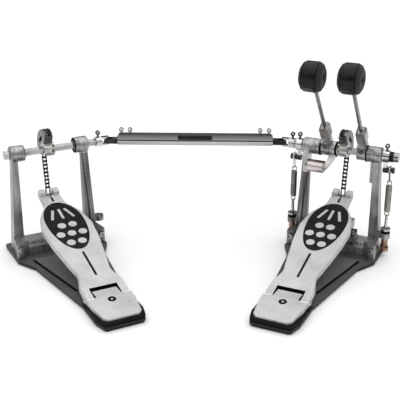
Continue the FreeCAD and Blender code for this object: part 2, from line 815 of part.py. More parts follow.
def make_fasteners(pedal):
    """Foot bolts, heel screw and, on the main pedal, the pivot pin of the hoop clamp."""
    name = pedal.label
    pieces = [bolt(name(f"foot_bolt_{index}"), "foot_height + plate_thickness", (w, v, f"{BASE_TOP} + foot_height"))
              for index, (w, v) in enumerate(bolt_places(pedal))]
    for index, side in enumerate((1, -1)):
        at = (f"{side} * (foot_inner + foot_outer) / 2", "-foot_front", f"{BASE_TOP} + foot_bolt_level")
        pieces.append(bolt(name(f"front_bolt_{index}"), "foot_bolt_depth", at, Rotation(Vector(1, 0, 0), 90)))
    seat = "heel_plate_top - heel_screw_recess - 1"
    shank = cylinder(name("heel_screw_shank"), "screw_radius", f"{seat} - {BASE_TOP}",
                     ("0", "-heel_screw_back", BASE_TOP))
    head = cylinder(name("heel_screw_head"), "heel_screw_head_radius", "heel_screw_recess - 0.7",
                    ("0", "-heel_screw_back", seat))
    pieces.append(union(name("heel_screw"), shank, head))
    if pedal is MAIN:
        reach = "(clamp_jaw_half + clamp_lug_thickness + part_gap)"
        pieces.append(cylinder("clamp_pivot", "clamp_pin_radius", f"2 * {reach}",
                               (f"-{reach}", "clamp_pivot_front", "clamp_pivot_height"), "u"))
    add_node(name("fasteners"), group(name("fastener_group"), pieces), pedal.place)


def egg_prism(inset, low, height):
    """Prism of the grip inlay's egg outline, drawn in by an inset, from level low."""
    half = sizes.grip_half_width - inset
    arcs = []
    for sign, reach in ((1, sizes.grip_top_reach - inset), (-1, sizes.grip_low_reach - inset)):
        tip = Vector(0, sizes.grip_centre + sign * reach, low)
        side = Vector(-sign * half, sizes.grip_centre, low)
        curve = Part.Ellipse(tip, side, Vector(0, sizes.grip_centre, low))
        arcs.append(Part.ArcOfEllipse(curve, -math.pi / 2, math.pi / 2).toShape())
    return Part.Face(Part.Wire(arcs)).extrude(Vector(0, 0, height))


def studs(name, extra, low, height):
    """Round studs and fanned bars of the grip pattern, grown by extra."""
    pieces = []
    rows = ((1, (-0.5, 0.5)), (0, (-1, 0, 1)), (-1, (-0.5, 0.5)))
    for row, columns in rows:
        for column in columns:
            at = (f"{column} * stud_side_step", f"stud_centre + {row} * stud_row_step", low)
            pieces.append(cylinder(f"{name}_stud_{len(pieces)}", f"stud_radius + {extra}", height, at))
    for step in (-1, 0, 1):
        bar = block(f"{name}_bar_{step + 1}", (f"-bar_width / 2 - {extra}", f"-bar_length / 2 - {extra}", low),
                    (f"bar_width + 2 * {extra}", f"bar_length + 2 * {extra}", height))
        fan = group(f"{name}_fan_{step + 1}", [bar])
        fan.Placement = Placement(Vector(step * sizes.bar_side_step, sizes.bar_centre, 0),
                                  Rotation(upright, step * sizes.bar_fan_angle))
        pieces.append(fan)
    return pieces


def make_footboard(pedal):
    """Footboard with toe ears, hinge knuckles and grip pattern, its grip inlay and its toe pin."""
    name = pedal.label
    place = board_frame(pedal)
    bottom = "(board_top - board_thickness)"
    notch = "tongue_half + tongue_gap"
    body = new_body(name("board_body"))
    outline = profile(body, name("board_outline"), "XY_Plane", mirrored([
        ("board_toe_half", "board_toe"), ("board_neck_half", "board_neck"), ("board_high_half", "board_high"),
        ("board_wide_half", "board_wide"), ("board_low_half", "board_low"), ("board_hip_half", "board_hip"),
        ("board_waist_half", "board_waist"), ("board_rear_half", "board_heel_length"),
        ("board_rear_half", "-board_rear"), (notch, "-board_rear"),
        (notch, "tongue_front + tongue_clearance")]), bottom)
    slab = pad(body, name("board_pad"), outline, "board_thickness")
    low_side = sizes.tongue_front + sizes.tongue_clearance + sizes.part_gap
    high_side = sizes.board_toe

    def is_side(edge):
        place_y = edge.Vertexes[0].Point.y
        wide = abs(edge.Vertexes[0].Point.x) > sizes.board_toe_half
        return is_upright(edge) and low_side < place_y < high_side and wide
    slab = fillet(body, name("board_sides"), slab, "board_side_round", is_side)

    def is_rim(edge):
        level = all(abs(point.Point.z - sizes.board_top) < 0.01 for point in edge.Vertexes)
        middle = edge.CenterOfMass
        return level and abs(middle.x) > sizes.board_toe_half / 2 and low_side < middle.y < high_side - 1 \
            and abs(middle.x) > sizes.tongue_half
    slab = fillet(body, name("board_rim"), slab, "board_edge_round", is_rim)
    top = "board_top"
    ears = []
    for index, side in enumerate((1, -1)):
        low = "toe_slot_half" if side > 0 else "-board_toe_half"
        ears.append(block(name(f"toe_ear_{index}"), (low, "board_toe - toe_ear_length", bottom),
                          ("board_toe_half - toe_slot_half", "toe_ear_length", "board_thickness + toe_ear_rise")))
        start = notch if side > 0 else "-board_rear_half"
        ears.append(cylinder(name(f"knuckle_{index}"), "knuckle_radius", f"board_rear_half - ({notch})",
                             (start, "0", "0"), "u"))
    raised = union(name("board_raised"), body, *ears)
    slot_back = "toe_pin_place - toe_pin_radius - shackle_clearance - shackle_wall - toe_slot_gap"
    tools = [
        block(name("toe_slot"), ("-toe_slot_half", slot_back, f"{bottom} - 1"),
              ("2 * toe_slot_half", f"board_toe + 1 - ({slot_back})", "board_thickness + toe_ear_rise + 2")),
        cylinder(name("toe_pin_hole"), "toe_pin_radius + seat_gap", "2 * board_toe_half + 2",
                 ("-board_toe_half - 1", "toe_pin_place", "toe_pin_level"), "u"),
        cylinder(name("board_hinge_hole"), "hinge_pin_radius + running_fit", "2 * board_rear_half + 2",
                 ("-board_rear_half - 1", "0", "0"), "u"),
    ]
    for index, (start, end) in enumerate((("long_line_start", "long_line_end"),
                                          ("short_line_start", "short_line_end"))):
        tools.append(block(name(f"line_{index}"), ("-line_width / 2", start, f"{top} - line_depth"),
                           ("line_width", f"{end} - {start}", "line_depth + 1")))
    recess = solid(name("grip_recess"), egg_prism(0, sizes.board_top - sizes.grip_recess, 2 * sizes.grip_recess))
    floor = f"{top} - grip_recess"
    pattern = studs(name("board"), "0", f"{floor} - 0.5", "grip_thickness + 0.5")
    hollow = minus(name("board_cut"), raised, *tools, recess)
    add_node(name("footboard"), union(name("board_finished"), hollow, *pattern), place)
    egg = solid(name("grip_egg"), egg_prism(sizes.grip_gap, sizes.board_top - sizes.grip_recess, sizes.grip_thickness))
    holes = studs(name("grip"), "grip_gap", f"{floor} - 0.5", "grip_thickness + 1")
    add_node(name("grip_pad"), minus(name("grip_cut"), egg, *holes), place)
    pin = cylinder(name("toe_rod"), "toe_pin_radius", "2 * board_toe_half",
                   ("-board_toe_half", "toe_pin_place", "toe_pin_level"), "u")
    add_node(name("toe_pin"), group(name("toe_pin_group"), [pin]), place)


def toe_pin_point():
    """Toe pin in the pedal's (v, z) plane."""
    slope = math.radians(sizes.board_slope)
    along, level = sizes.toe_pin_place, sizes.toe_pin_level
    v = -sizes.hinge_back + along * math.cos(slope) - level * math.sin(slope)
    z = sizes.hinge_height + along * math.sin(slope) + level * math.cos(slope)
    return v, z


def tangent_angle():
    """Angle on the cam, from v towards z, where the straight chain leaves it."""
    v, z = toe_pin_point()
    drop = z - sizes.axle_height
    return math.atan2(drop, v) + math.acos(sizes.cam_pitch_radius / math.hypot(v, drop))


def cam_point(angle, radius):
    """Point of the (v, z) plane at an angle round the axle."""
    return Vector(0, radius * math.cos(angle), sizes.axle_height + radius * math.sin(angle))


def strap(start, end, radius_start, radius_end, low, thickness, holes=()):
    """Plate of two round eyes joined by a waist, thick along u, with a hole in each eye if asked."""
    axis = Vector(1, 0, 0)
    shift = Vector(low, 0, 0)
    eyes = [Part.makeCylinder(radius, thickness, point + shift, axis)
            for point, radius in ((start, radius_start), (end, radius_end))]
    along = (end - start).normalize()
    across = axis.cross(along)
    corners = [start + across * radius_start * 0.8, end + across * radius_end * 0.8,
               end - across * radius_end * 0.8, start - across * radius_start * 0.8]
    points = [corner + shift for corner in corners]
    waist = Part.Face(Part.makePolygon(points + points[:1])).extrude(axis * thickness)
    plate = eyes[0].fuse([eyes[1], waist]).removeSplitter()
    for point, radius in zip((start, end), holes):
        plate = plate.cut(Part.makeCylinder(radius, thickness, point + shift, axis))
    return plate


def chain_pin(point):
    """Roller and rivet of a chain joint as one stepped pin along u."""
    axis = Vector(1, 0, 0)
    half = sizes.chain_inner_half + 2 * sizes.chain_plate_thickness + sizes.chain_rivet_rise
    roller = sizes.chain_inner_half - sizes.running_fit
    rivet = Part.makeCylinder(sizes.chain_pin_radius, 2 * half, point - axis * half, axis)
    return rivet.fuse(Part.makeCylinder(sizes.chain_roller_radius, 2 * roller, point - axis * roller, axis))


def chain_plates(start, end, outer, end_radius=None, end_hole=None):
    """Pair of plates between two chain joints, outside or inside the next pair."""
    radius = sizes.chain_plate_radius
    hole = sizes.chain_pin_radius + sizes.running_fit
    thick = sizes.chain_plate_thickness
    near = sizes.chain_inner_half + (thick + sizes.running_fit if outer else 0)
    radii = (radius, end_radius or radius)
    holes = (hole, end_hole or hole)
    return [strap(start, end, *radii, low, thick, holes) for low in (near, -near - thick)]


def chain_layout():
    """Joints of the straight stretch, from the cam to the toe pin, and of the wrapped stretch."""
    angle = tangent_angle()
    top = cam_point(angle, sizes.cam_pitch_radius)
    v, z = toe_pin_point()
    bottom = Vector(0, v - sizes.shackle_back, z + sizes.shackle_lift)
    count = int((bottom - top).Length / sizes.chain_pitch)
    step = (bottom - top).normalize() * sizes.chain_pitch
    straight = [top + step * index for index in range(count)] + [bottom]
    turn = 2 * math.asin(sizes.chain_pitch / 2 / sizes.cam_pitch_radius)
    links = int((math.radians(sizes.cam_sweep) - angle) / turn)
    wrapped = [cam_point(angle + turn * index, sizes.cam_pitch_radius) for index in range(links + 1)]
    return straight, wrapped


def make_chain(pedal):
    """Straight chain that hangs from the cam, and the stretch that is wrapped on it."""
    straight, wrapped = chain_layout()
    pieces = []
    for index in range(len(straight) - 1):
        start, end = straight[index], straight[index + 1]
        last = index == len(straight) - 2
        hole = sizes.toe_pin_radius + sizes.shackle_clearance if last else None
        radius = hole + sizes.shackle_wall if last else None
        pieces += chain_plates(start, end, index % 2 == 1, radius, hole)
        if not last:
            pieces.append(chain_pin(end))
    chain = solid(pedal.label("chain_links"), Part.makeCompound(pieces))
    add_node(pedal.label("chain"), chain, pedal.place)
    pieces = [chain_pin(point) for point in wrapped]
    for index in range(len(wrapped) - 1):
        pieces += chain_plates(wrapped[index], wrapped[index + 1], index % 2 == 0)
    chain = solid(pedal.label("cam_chain_links"), Part.makeCompound(pieces))
    add_node(pedal.label("cam_chain"), chain, pedal.place)


def sector(radius, low, high, thickness_low, thickness_high):
    """Sector of a disc round the axle between two angles, thick along u."""
    axis = Vector(1, 0, 0)
    middle = (low + high) / 2
    points = [cam_point(angle, radius) for angle in (low, middle, high)]
    arc = Part.Arc(*points).toShape()
    centre = cam_point(0, 0)
    sides = [Part.makeLine(points[2], centre), Part.makeLine(centre, points[0])]
    face = Part.Face(Part.Wire([arc] + sides))
    face.translate(axis * thickness_low)
    return face.extrude(axis * (thickness_high - thickness_low))


def make_cam(pedal):
    """Cam: hub, chain rim and a side disc with an oval lightening slot."""
    low = tangent_angle() - math.radians(sizes.cam_below)
    high = math.radians(sizes.cam_sweep)
    half = sizes.cam_rim_half_width
    rim_radius = sizes.cam_pitch_radius - sizes.chain_plate_radius - sizes.part_gap
    disc = (half, half + sizes.cam_disc_thickness)
    if pedal.out < 0:
        disc = (-disc[1], -disc[0])
    rim = sector(rim_radius, low, high, -half, half)
    plate = sector(sizes.cam_disc_radius, low, high, *disc)
    middle = (low + high) / 2
    ends = [cam_point(middle + turn, sizes.cam_slot_place) for turn in (-0.3, 0.3)]
    slot_radius = sizes.cam_slot_radius
    slot = strap(ends[0], ends[1], slot_radius, slot_radius, -sizes.cam_disc_radius, 2 * sizes.cam_disc_radius)
    wheel = solid(pedal.label("cam_wheel"), rim.fuse(plate).cut(slot).removeSplitter())
    name = pedal.label
    hub = pedal.barrel(name("cam_hub"), "cam_hub_radius", "-cam_hub_inner", "cam_hub_outer")
    bore = pedal.barrel(name("cam_bore"), "axle_hex_radius + running_fit", "-cam_hub_inner - cam_disc_radius",
                        "cam_hub_outer + cam_disc_radius")
    hole = set_screw_hole(pedal, name("cam_set_hole"), "-cam_hub_inner + cam_screw_inset", "cam_hub_radius")
    add_node(name("cam"), minus(name("cam_cut"), union(name("cam_blank"), wheel, hub), bore, hole), pedal.place)


def set_screw_hole(pedal, name, w, radius):
    """Radial hole for a set screw that faces the player."""
    return cylinder(name, "set_screw_radius + running_fit", f"{radius} + 2",
                    (pedal.at(w), f"-({radius}) - 2", "axle_height"), "v")


def set_screw(pedal, name, w, radius):
    """Set screw in a hub, sunk below its surface, with a socket."""
    body = cylinder(f"{name}_body", "set_screw_radius", f"{radius} - set_screw_recess - axle_hex_radius - part_gap",
                    (pedal.at(w), f"-({radius}) + set_screw_recess", "axle_height"), "v")
    socket = cylinder(f"{name}_socket", "set_screw_radius / 2", "1.4",
                      (pedal.at(w), f"-({radius}) + set_screw_recess - 0.4", "axle_height"), "v")
    return minus(name, body, socket)


def thumb_screw(name, at, seat, foot):
    """Thumb screw along z: stem from foot level to its eye disc above seat level."""
    u, v = at
    centre = f"({seat}) + thumb_disc_rise"
    stem = cylinder(f"{name}_stem", "thumb_stem_radius", f"({centre}) - ({foot})", (u, v, foot))
    disc = cylinder(f"{name}_disc", "thumb_disc_radius", "thumb_disc_thickness",
                    (u, f"({v}) - thumb_disc_thickness / 2", f"{centre} + 1.5"), "v")
    eye = cylinder(f"{name}_eye", "thumb_eye_radius", "thumb_disc_thickness + 2",
                   (u, f"({v}) - thumb_disc_thickness / 2 - 1", f"{centre} + 2"), "v")
    return minus(name, union(f"{name}_blank", stem, disc), eye)


def stem_hole(name, u, radius):
    """Hole for a thumb screw's stem, from the axle up through a collar."""
    return cylinder(name, "thumb_stem_radius + running_fit", f"{radius} + 1", (u, "0", "axle_height"))


def hex_bar(name, start, length):
    """Hexagonal bar on the axle line from u start."""
    bar = document.addObject("Part::Prism", name)
    bar.Polygon = 6
    bind(bar, Circumradius="axle_hex_radius", Height=length)
    return move(bar, (start, "0", "axle_height"), Rotation(Vector(0, 1, 0), 90))


def make_main_axles():
    """Right and left axle of the main pedal, which meet inside the middle bearing."""
    split = "((mid_ring_inner + mid_ring_outer) / 2)"
    right_start = f"-{split} + axle_split_gap / 2"
    right = union("right_axle_bar",
                  hex_bar("right_hex", right_start, f"axle_outer_end - ({right_start})"),
                  MAIN.barrel("right_journal", "journal_radius", *housing_span(MAIN, 1)),
                  MAIN.barrel("right_mid_journal", "journal_radius", right_start, "-mid_ring_inner"))
    add_node("right_axle", right, MAIN.place)
    left_end = f"-{split} - axle_split_gap / 2"
    left = union("left_axle_bar",
                 hex_bar("left_hex", "-axle_drive_end", f"axle_drive_end + ({left_end})"),
                 Pedal("main", -1, MAIN.place).barrel("left_journal", "journal_radius", *housing_span(MAIN, -1)),
                 MAIN.barrel("left_mid_journal", "journal_radius", "-mid_ring_outer", left_end))
    add_node("left_axle", left, MAIN.place)


def make_slave_axle():
    """Axle of the slave pedal, one bar through both posts."""
    near, reach = housing_span(SLAVE, 1)
    bar = union("slave_axle_bar",
                hex_bar("slave_hex", "-slave_axle_end", "axle_drive_end + slave_axle_end"),
                SLAVE.barrel("slave_journal_a", "journal_radius", near, reach),
                SLAVE.barrel("slave_journal_b", "journal_radius", f"-({reach})", f"-({near})"))
    add_node("slave_axle", bar, SLAVE.place)


def mid_arm_sections():
    """Level sections of the curved arm from the bracket's sleeve to the middle ring."""
    middle = -(sizes.mid_ring_inner + sizes.mid_ring_outer) / 2
    start = Vector(-sizes.bracket_sleeve_inner - sizes.mid_arm_width * 0.4, -sizes.bracket_back,
                   sizes.axle_height - sizes.bracket_drop - sizes.mid_arm_drop)
    bend = Vector(middle, -sizes.bracket_back, sizes.axle_height - sizes.mid_arm_bend_drop)
    end = Vector(middle, -sizes.mid_ring_radius * 0.45, sizes.axle_height - sizes.mid_ring_radius * 0.5)
    wires = []
    for share in (0.0, 0.35, 0.7, 1.0):
        centre = start * (1 - share) ** 2 + bend * (2 * share * (1 - share)) + end * share ** 2
        corners = [centre + Vector(du * sizes.mid_arm_width / 2, dv * sizes.mid_arm_depth / 2, 0)
                   for du, dv in ((-1, -1), (1, -1), (1, 1), (-1, 1))]
        wires.append(Part.makePolygon(corners + corners[:1]))
    return wires


def make_mid_bracket():
    """Cast arm from the left housing to the middle bearing: leg, sleeve, rising arm and ring."""
    level = "(axle_height - bracket_drop)"
    leg = MAIN.box("bracket_leg", ("-bracket_sleeve_outer", "-bracket_sleeve_outer + bracket_leg_width"),
                   ("-bracket_back - bracket_leg_depth / 2", "-bracket_back + bracket_leg_depth / 2"),
                   (f"{level} - bracket_sleeve_radius", "axle_height"))
    hanger = MAIN.box("bracket_hanger", ("-bracket_sleeve_outer", "-bracket_sleeve_outer + bracket_leg_width"),
                      ("-bracket_back", "-housing_radius / 2"), ("axle_height - 8", "axle_height"))
    sleeve = MAIN.barrel("bracket_sleeve", "bracket_sleeve_radius", "-bracket_sleeve_outer + bracket_leg_width / 2",
                         "-bracket_sleeve_inner", "-bracket_back", level)
    ring = MAIN.barrel("bracket_ring", "mid_ring_radius", "-mid_ring_outer", "-mid_ring_inner")
    arm = solid("bracket_arm", Part.makeLoft(mid_arm_sections(), True, False))
    blank = union("bracket_blank", leg, hanger, sleeve, ring, arm)
    bore = MAIN.barrel("bracket_bore", "bearing_radius + seat_gap", "-mid_ring_outer - 2", "-mid_ring_inner + 2")
    inner, outer = housing_span(MAIN, -1)
    housing = MAIN.barrel("bracket_clear", "housing_radius + seat_gap", f"-{outer} - 1", f"-{inner} + 1")
    add_node("mid_bearing_bracket", minus("bracket_cut", blank, bore, housing), MAIN.place)


def make_beater(side, label):
    """Beater hub, rod and head of one side of the main axle."""
    place = rod_frame(side, label)
    reach = f"{label}_beater_reach"
    ring = cylinder(f"{label}_hub_ring", "hub_ring_radius", "hub_width", ("-hub_width / 2", "0", "0"), "u")
    neck = block(f"{label}_hub_neck", ("-hub_neck_width / 2", "-hub_neck_back", "0"),
                 ("hub_neck_width", "hub_neck_back + rod_offset + rod_radius + hub_wall",
                  "hub_block_bottom + hub_chamfer"))
    head = block(f"{label}_hub_block", ("-hub_block_width / 2", "rod_offset - hub_block_depth / 2",
                                        "hub_block_bottom"),
                 ("hub_block_width", "hub_block_depth", "hub_block_top - hub_block_bottom"))
    softened = document.addObject("Part::Chamfer", f"{label}_hub_chamfer")
    softened.Base = head
    document.recompute()
    softened.Edges = [(index, sizes.hub_chamfer, sizes.hub_chamfer)
                      for index, edge in enumerate(head.Shape.Edges, start=1)
                      if abs(edge.tangentAt(edge.FirstParameter).y) > 0.99]
    blank = union(f"{label}_hub_blank", ring, neck, softened)
    bore = cylinder(f"{label}_hub_bore", "axle_hex_radius + running_fit", "hub_width + 2",
                    ("-hub_width / 2 - 1", "0", "0"), "u")
    rod_hole = cylinder(f"{label}_rod_hole", "rod_radius + running_fit", "hub_block_top + hub_ring_radius + 20",
                        ("0", "rod_offset", "-hub_ring_radius - 10"))
    screw_hole = cylinder(f"{label}_screw_hole", "set_screw_radius + running_fit", "hub_neck_back + rod_offset + 1",
                          ("0", "-hub_neck_back - 1", "hub_screw_level"), "v")
    add_node(f"{label}_beater_hub", minus(f"{label}_hub_cut", blank, bore, rod_hole, screw_hole), place)

    seat = f"{reach} - head_radius + head_socket_depth"
    rod = cylinder(f"{label}_rod_bar", "rod_radius", f"{seat} - rod_bottom", ("0", "rod_offset", "rod_bottom"))
    add_node(f"{label}_beater_rod", group(f"{label}_rod_group", [rod]), place)

    middle = ("rod_offset", reach)
    core = cylinder(f"{label}_core_drum", "head_radius", "2 * head_core_half",
                    ("-head_core_half", *middle), "u")
    socket = cylinder(f"{label}_core_socket", "rod_radius + running_fit", "head_socket_depth + part_gap",
                      ("0", "rod_offset", f"{reach} - head_radius"))
    collar = cylinder(f"{label}_core_collar", "rod_radius + 3", "4",
                      ("0", "rod_offset", f"{reach} - head_radius - 2"))
    core = minus(f"{label}_core", union(f"{label}_core_blank", core, collar), socket,
                 cylinder(f"{label}_core_entry", "rod_radius + running_fit", "6",
                          ("0", "rod_offset", f"{reach} - head_radius - 5")))
    caps = []
    length = "head_half_width - head_core_half"
    for index, sign in enumerate((1, -1)):
        radii = ("head_felt_inner", "head_felt_outer")
        start = "head_core_half" if sign > 0 else "-head_half_width"
        frustum = cone(f"{label}_felt_cone_{index}", *(radii if sign > 0 else radii[::-1]), length,
                       (start, *middle), "u")
        dimple = cylinder(f"{label}_felt_bore_{index}", "head_bore_radius", "3",
                          ("head_half_width - 2" if sign > 0 else "-head_half_width - 1", *middle), "u")
        caps.append(minus(f"{label}_felt_{index}", frustum, dimple))
    add_node(f"{label}_beater_head", group(f"{label}_head_group", [core] + caps), place)


def make_rocker(side, label):
    """Spring rocker on an axle, its pin, and the link that hangs from the pin."""
    inner = "rocker_inner"
    sign = Pedal("main", side, MAIN.place)
    outer = "rocker_inner + rocker_length"
    arm_start = "rocker_inner + 1.5"
    arm_end = f"{arm_start} + rocker_arm_thickness"
    level = "axle_height - rocker_drop"
    collar = sign.barrel(f"{label}_rocker_collar", "rocker_radius", inner, outer)
    arm = sign.box(f"{label}_rocker_arm", (arm_start, arm_end),
                   ("-rocker_arm_width / 2", "rocker_arm_width / 2"), (level, "axle_height"))
    tip = sign.barrel(f"{label}_rocker_tip", "rocker_arm_width / 2", arm_start, arm_end, "0", level)
    head_start = "spring_side + link_thickness / 2 + 2"
    pin = sign.barrel(f"{label}_rocker_pin", "rocker_pin_radius", arm_start, f"{head_start} + 1", "0", level)
    head = sign.barrel(f"{label}_rocker_pin_head", "rocker_pin_head_radius", head_start,
                       f"{head_start} + rocker_pin_head_length", "0", level)
    washer = sign.barrel(f"{label}_rocker_washer", "rocker_pin_head_radius", arm_end,
                         "spring_side - link_thickness / 2 - part_gap", "0", level)
    blank = union(f"{label}_rocker_blank", collar, arm, tip, pin, head, washer)
    bore = sign.barrel(f"{label}_rocker_bore", "axle_hex_radius + running_fit", f"{inner} - 1", f"{outer} + 1")
    stem = stem_hole(f"{label}_rocker_stem_hole", sign.at(f"{inner} + rocker_length / 2"), "rocker_radius")
    add_node(f"{label}_spring_rocker", minus(f"{label}_rocker_cut", blank, bore, stem), MAIN.place)

    top = Vector(0, 0, sizes.axle_height - sizes.rocker_drop)
    eye_top = sizes.spring_coil_top + sizes.spring_eye_lead + sizes.spring_eye_radius
    bottom = Vector(0, 0, eye_top + sizes.link_hole_lift)
    eye = sizes.rocker_pin_radius + sizes.link_eye_clearance
    thick = sizes.link_thickness
    link = strap(top, bottom, eye + sizes.link_wall, sizes.link_tip_radius,
                 side * sizes.spring_side - thick / 2, thick, (eye, sizes.link_hole_radius))
    add_node(f"{label}_spring_link", solid(f"{label}_link_strap", link), MAIN.place)


def biarc(start, start_way, end, end_way):
    """Two tangent arcs between two points with given unit directions."""
    span = end - start
    both = start_way + end_way
    square = both.dot(both) - 4.0
    linear = -2.0 * span.dot(both)
    constant = span.dot(span)
    if abs(square) < 1e-9:
        reach = -constant / linear
    else:
        root = math.sqrt(linear * linear - 4.0 * square * constant)
        reach = max((-linear + root) / (2 * square), (-linear - root) / (2 * square))
    corners = (start + start_way * reach, end - end_way * reach)
    joint = (corners[0] + corners[1]) * 0.5
    return [tangent_arc(start, corners[0], joint), tangent_arc(joint, corners[1], end)]


def tangent_arc(start, corner, end):
    """Arc from start to end whose end tangents meet at the corner."""
    middle = (start + end) * 0.5
    half = (end - start).Length / 2
    outward = corner - middle
    angle = math.atan2(outward.Length, half)
    rise = half * math.tan(angle / 2)
    if rise < 1e-6:
        return Part.makeLine(start, end)
    return Part.Arc(start, middle + outward.normalize() * rise, end).toShape()


def spring_stations():
    """Points and directions along the wire: lower eye, coil in half turns, upper eye."""
    radius, eye = sizes.spring_radius, sizes.spring_eye_radius
    bottom, top = sizes.spring_coil_bottom, sizes.spring_coil_top
    lead = sizes.spring_eye_lead
    stations = []
    low = bottom - lead
    for degrees in range(-240, 1, 60):
        turn = math.radians(degrees)
        point = Vector(-eye * math.cos(turn), 0, low + eye * math.sin(turn))
        stations.append((point, Vector(eye * math.sin(turn), 0, eye * math.cos(turn)).normalize()))
    turns = int(sizes.spring_turns)
    rise = (top - bottom) / turns
    slope = rise / (2 * math.pi)
    for half_turn in range(2 * turns + 1):
        angle = math.pi * half_turn - math.pi / 2
        point = Vector(radius * math.cos(angle), radius * math.sin(angle), bottom + rise * half_turn / 2)
        way = Vector(-radius * math.sin(angle), radius * math.cos(angle), slope)
        stations.append((point, way.normalize()))
    high = top + lead
    for degrees in range(0, 241, 60):
        turn = math.radians(degrees)
        point = Vector(eye * math.cos(turn), 0, high + eye * math.sin(turn))
        stations.append((point, Vector(-eye * math.sin(turn), 0, eye * math.cos(turn)).normalize()))
    return stations


def least_gap(wire, wire_radius):
    """Least distance between two turns of the tube, measured on points of its path."""
    points = wire.discretize(Distance=1.0)
    reach = 6
    nearest = min((points[first] - points[second]).Length
                  for first in range(len(points)) for second in range(first + reach, len(points)))
    return nearest - 2 * wire_radius


def make_spring(side, label):
    """Return spring: one unbroken wire with an eye at each end."""
    stations = spring_stations()
    edges = []
    for (start, start_way), (end, end_way) in zip(stations, stations[1:]):
        edges += biarc(start, start_way, end, end_way)
    path = Part.Wire(edges)
    wire_radius = sizes.spring_wire_radius
    first, way = stations[0]
    ring = Part.Wire(Part.makeCircle(wire_radius, first, way))
    shell = Part.BRepOffsetAPI.MakePipeShell(path)
    shell.add(ring)
    shell.build()
    shell.makeSolid()
    tube = shell.shape()
    print(label, "spring, least gap of the wire to itself:", round(least_gap(path, wire_radius), 3), "mm")
    shifted = Placement(Vector(side * sizes.spring_side, 0, 0), Rotation())
    add_node(f"{label}_spring", solid(f"{label}_spring_wire", tube), MAIN.place.multiply(shifted))


def make_adjusters():
    """Hook rods, flanged nuts above the spring bosses and barrel nuts below them."""
    pieces = []
    eye_low = "(spring_coil_bottom - spring_eye_lead - spring_eye_radius)"
    ring_level = f"{eye_low} + spring_wire_radius + hook_wire_radius + part_gap - hook_ring_radius"
    boss_top = "(bracket_ring_bottom + bracket_ring_height)"
    for index, side in enumerate((1, -1)):
        u = f"{side} * spring_side"
        stem_top = f"({ring_level}) - hook_ring_radius"
        stem = cylinder(f"hook_stem_{index}", "adjuster_radius", f"({stem_top}) - adjuster_bottom",
                        (u, "0", "adjuster_bottom"))
        ring = document.addObject("Part::Torus", f"hook_ring_{index}")
        bind(ring, Radius1="hook_ring_radius", Radius2="hook_wire_radius")
        move(ring, (u, "0", ring_level), ALONG["u"])
        pieces.append(union(f"hook_{index}", stem, ring))
        neck = cylinder(f"flange_neck_{index}", "flange_nut_neck_radius", "flange_nut_neck_height", (u, "0", boss_top))
        flange = cylinder(f"flange_{index}", "flange_nut_radius", "flange_nut_height",
                          (u, "0", f"{boss_top} + flange_nut_neck_height"))
        bore = cylinder(f"flange_bore_{index}", "adjuster_radius + running_fit", "40", (u, "0", boss_top))
        pieces.append(minus(f"flange_nut_{index}", union(f"flange_blank_{index}", neck, flange), bore))
        foot = cylinder(f"barrel_foot_{index}", "barrel_nut_foot_radius", "barrel_nut_foot_height",
                        (u, "0", "adjuster_bottom + 1"))
        barrel = cylinder(f"barrel_{index}", "barrel_nut_radius", "bracket_ring_bottom - adjuster_bottom - 1",
                          (u, "0", "adjuster_bottom + 1"))
        bore = cylinder(f"barrel_bore_{index}", "adjuster_radius + running_fit", "bracket_ring_bottom",
                        (u, "0", "adjuster_bottom"))
        pieces.append(minus(f"barrel_nut_{index}", union(f"barrel_blank_{index}", foot, barrel), bore))
    add_node("spring_adjusters", group("adjuster_group", pieces), MAIN.place)


def make_coupling_yoke(pedal):
    """Yoke on the drive end of an axle, with its pin upright at rest."""
    name = pedal.label
    hub_end = "yoke_hub_start + yoke_hub_length"
    hub = pedal.barrel(name("yoke_hub"), "yoke_hub_radius", f"-({hub_end})", "-yoke_hub_start")
    pieces = [hub]
    for index, side in enumerate((1, -1)):
        low = "yoke_inner_half" if side > 0 else "-yoke_inner_half - yoke_arm_thickness"
        z_range = (f"axle_height + {low}", f"axle_height + {low} + yoke_arm_thickness")
        pieces.append(pedal.box(name(f"yoke_arm_{index}"), ("-joint_offset", f"-({hub_end}) + 1"),
                                ("-yoke_ear_radius", "yoke_ear_radius"), z_range))
        pieces.append(cylinder(name(f"yoke_ear_{index}"), "yoke_ear_radius", "yoke_arm_thickness",
                               (pedal.at("-joint_offset"), "0", z_range[0])))
    blank = union(name("yoke_blank"), *pieces)
    bore = pedal.barrel(name("yoke_bore"), "axle_hex_radius + running_fit", "-axle_drive_end - part_gap",
                        "-yoke_hub_start + 1")
    pin_hole = cylinder(name("yoke_pin_hole"), "cross_pin_radius + running_fit", "4 * cross_pin_half",
                        (pedal.at("-joint_offset"), "0", "axle_height - 2 * cross_pin_half"))
    stem = stem_hole(name("yoke_stem_hole"), pedal.at("-yoke_hub_start - yoke_hub_length / 2"), "yoke_hub_radius")
    add_node(name("coupling_yoke"), minus(name("yoke_cut"), blank, bore, pin_hole, stem), pedal.place)


def joint_place(pedal):
    """Universal joint's centre as a frame with x along the drive shaft."""
    local = Vector(-pedal.out * sizes.joint_offset, 0, sizes.axle_height)
    return Placement(pedal.place.multVec(local), Rotation())


def make_cross(pedal):
    """Cross of a universal joint: cube with one upright pin and one level pin."""
    name = pedal.label
    cube = block(name("cross_cube"), ("-cross_half", "-cross_half", "-cross_half"),
                 ("2 * cross_half", "2 * cross_half", "2 * cross_half"))
    pins = [cylinder(name(f"cross_pin_{axis}"), "cross_pin_radius", "2 * cross_pin_half", at, axis)
            for axis, at in (("z", ("0", "0", "-cross_pin_half")), ("v", ("0", "-cross_pin_half", "0")))]
    add_node(name("joint_cross"), union(name("cross_body"), cube, *pins), joint_place(pedal))


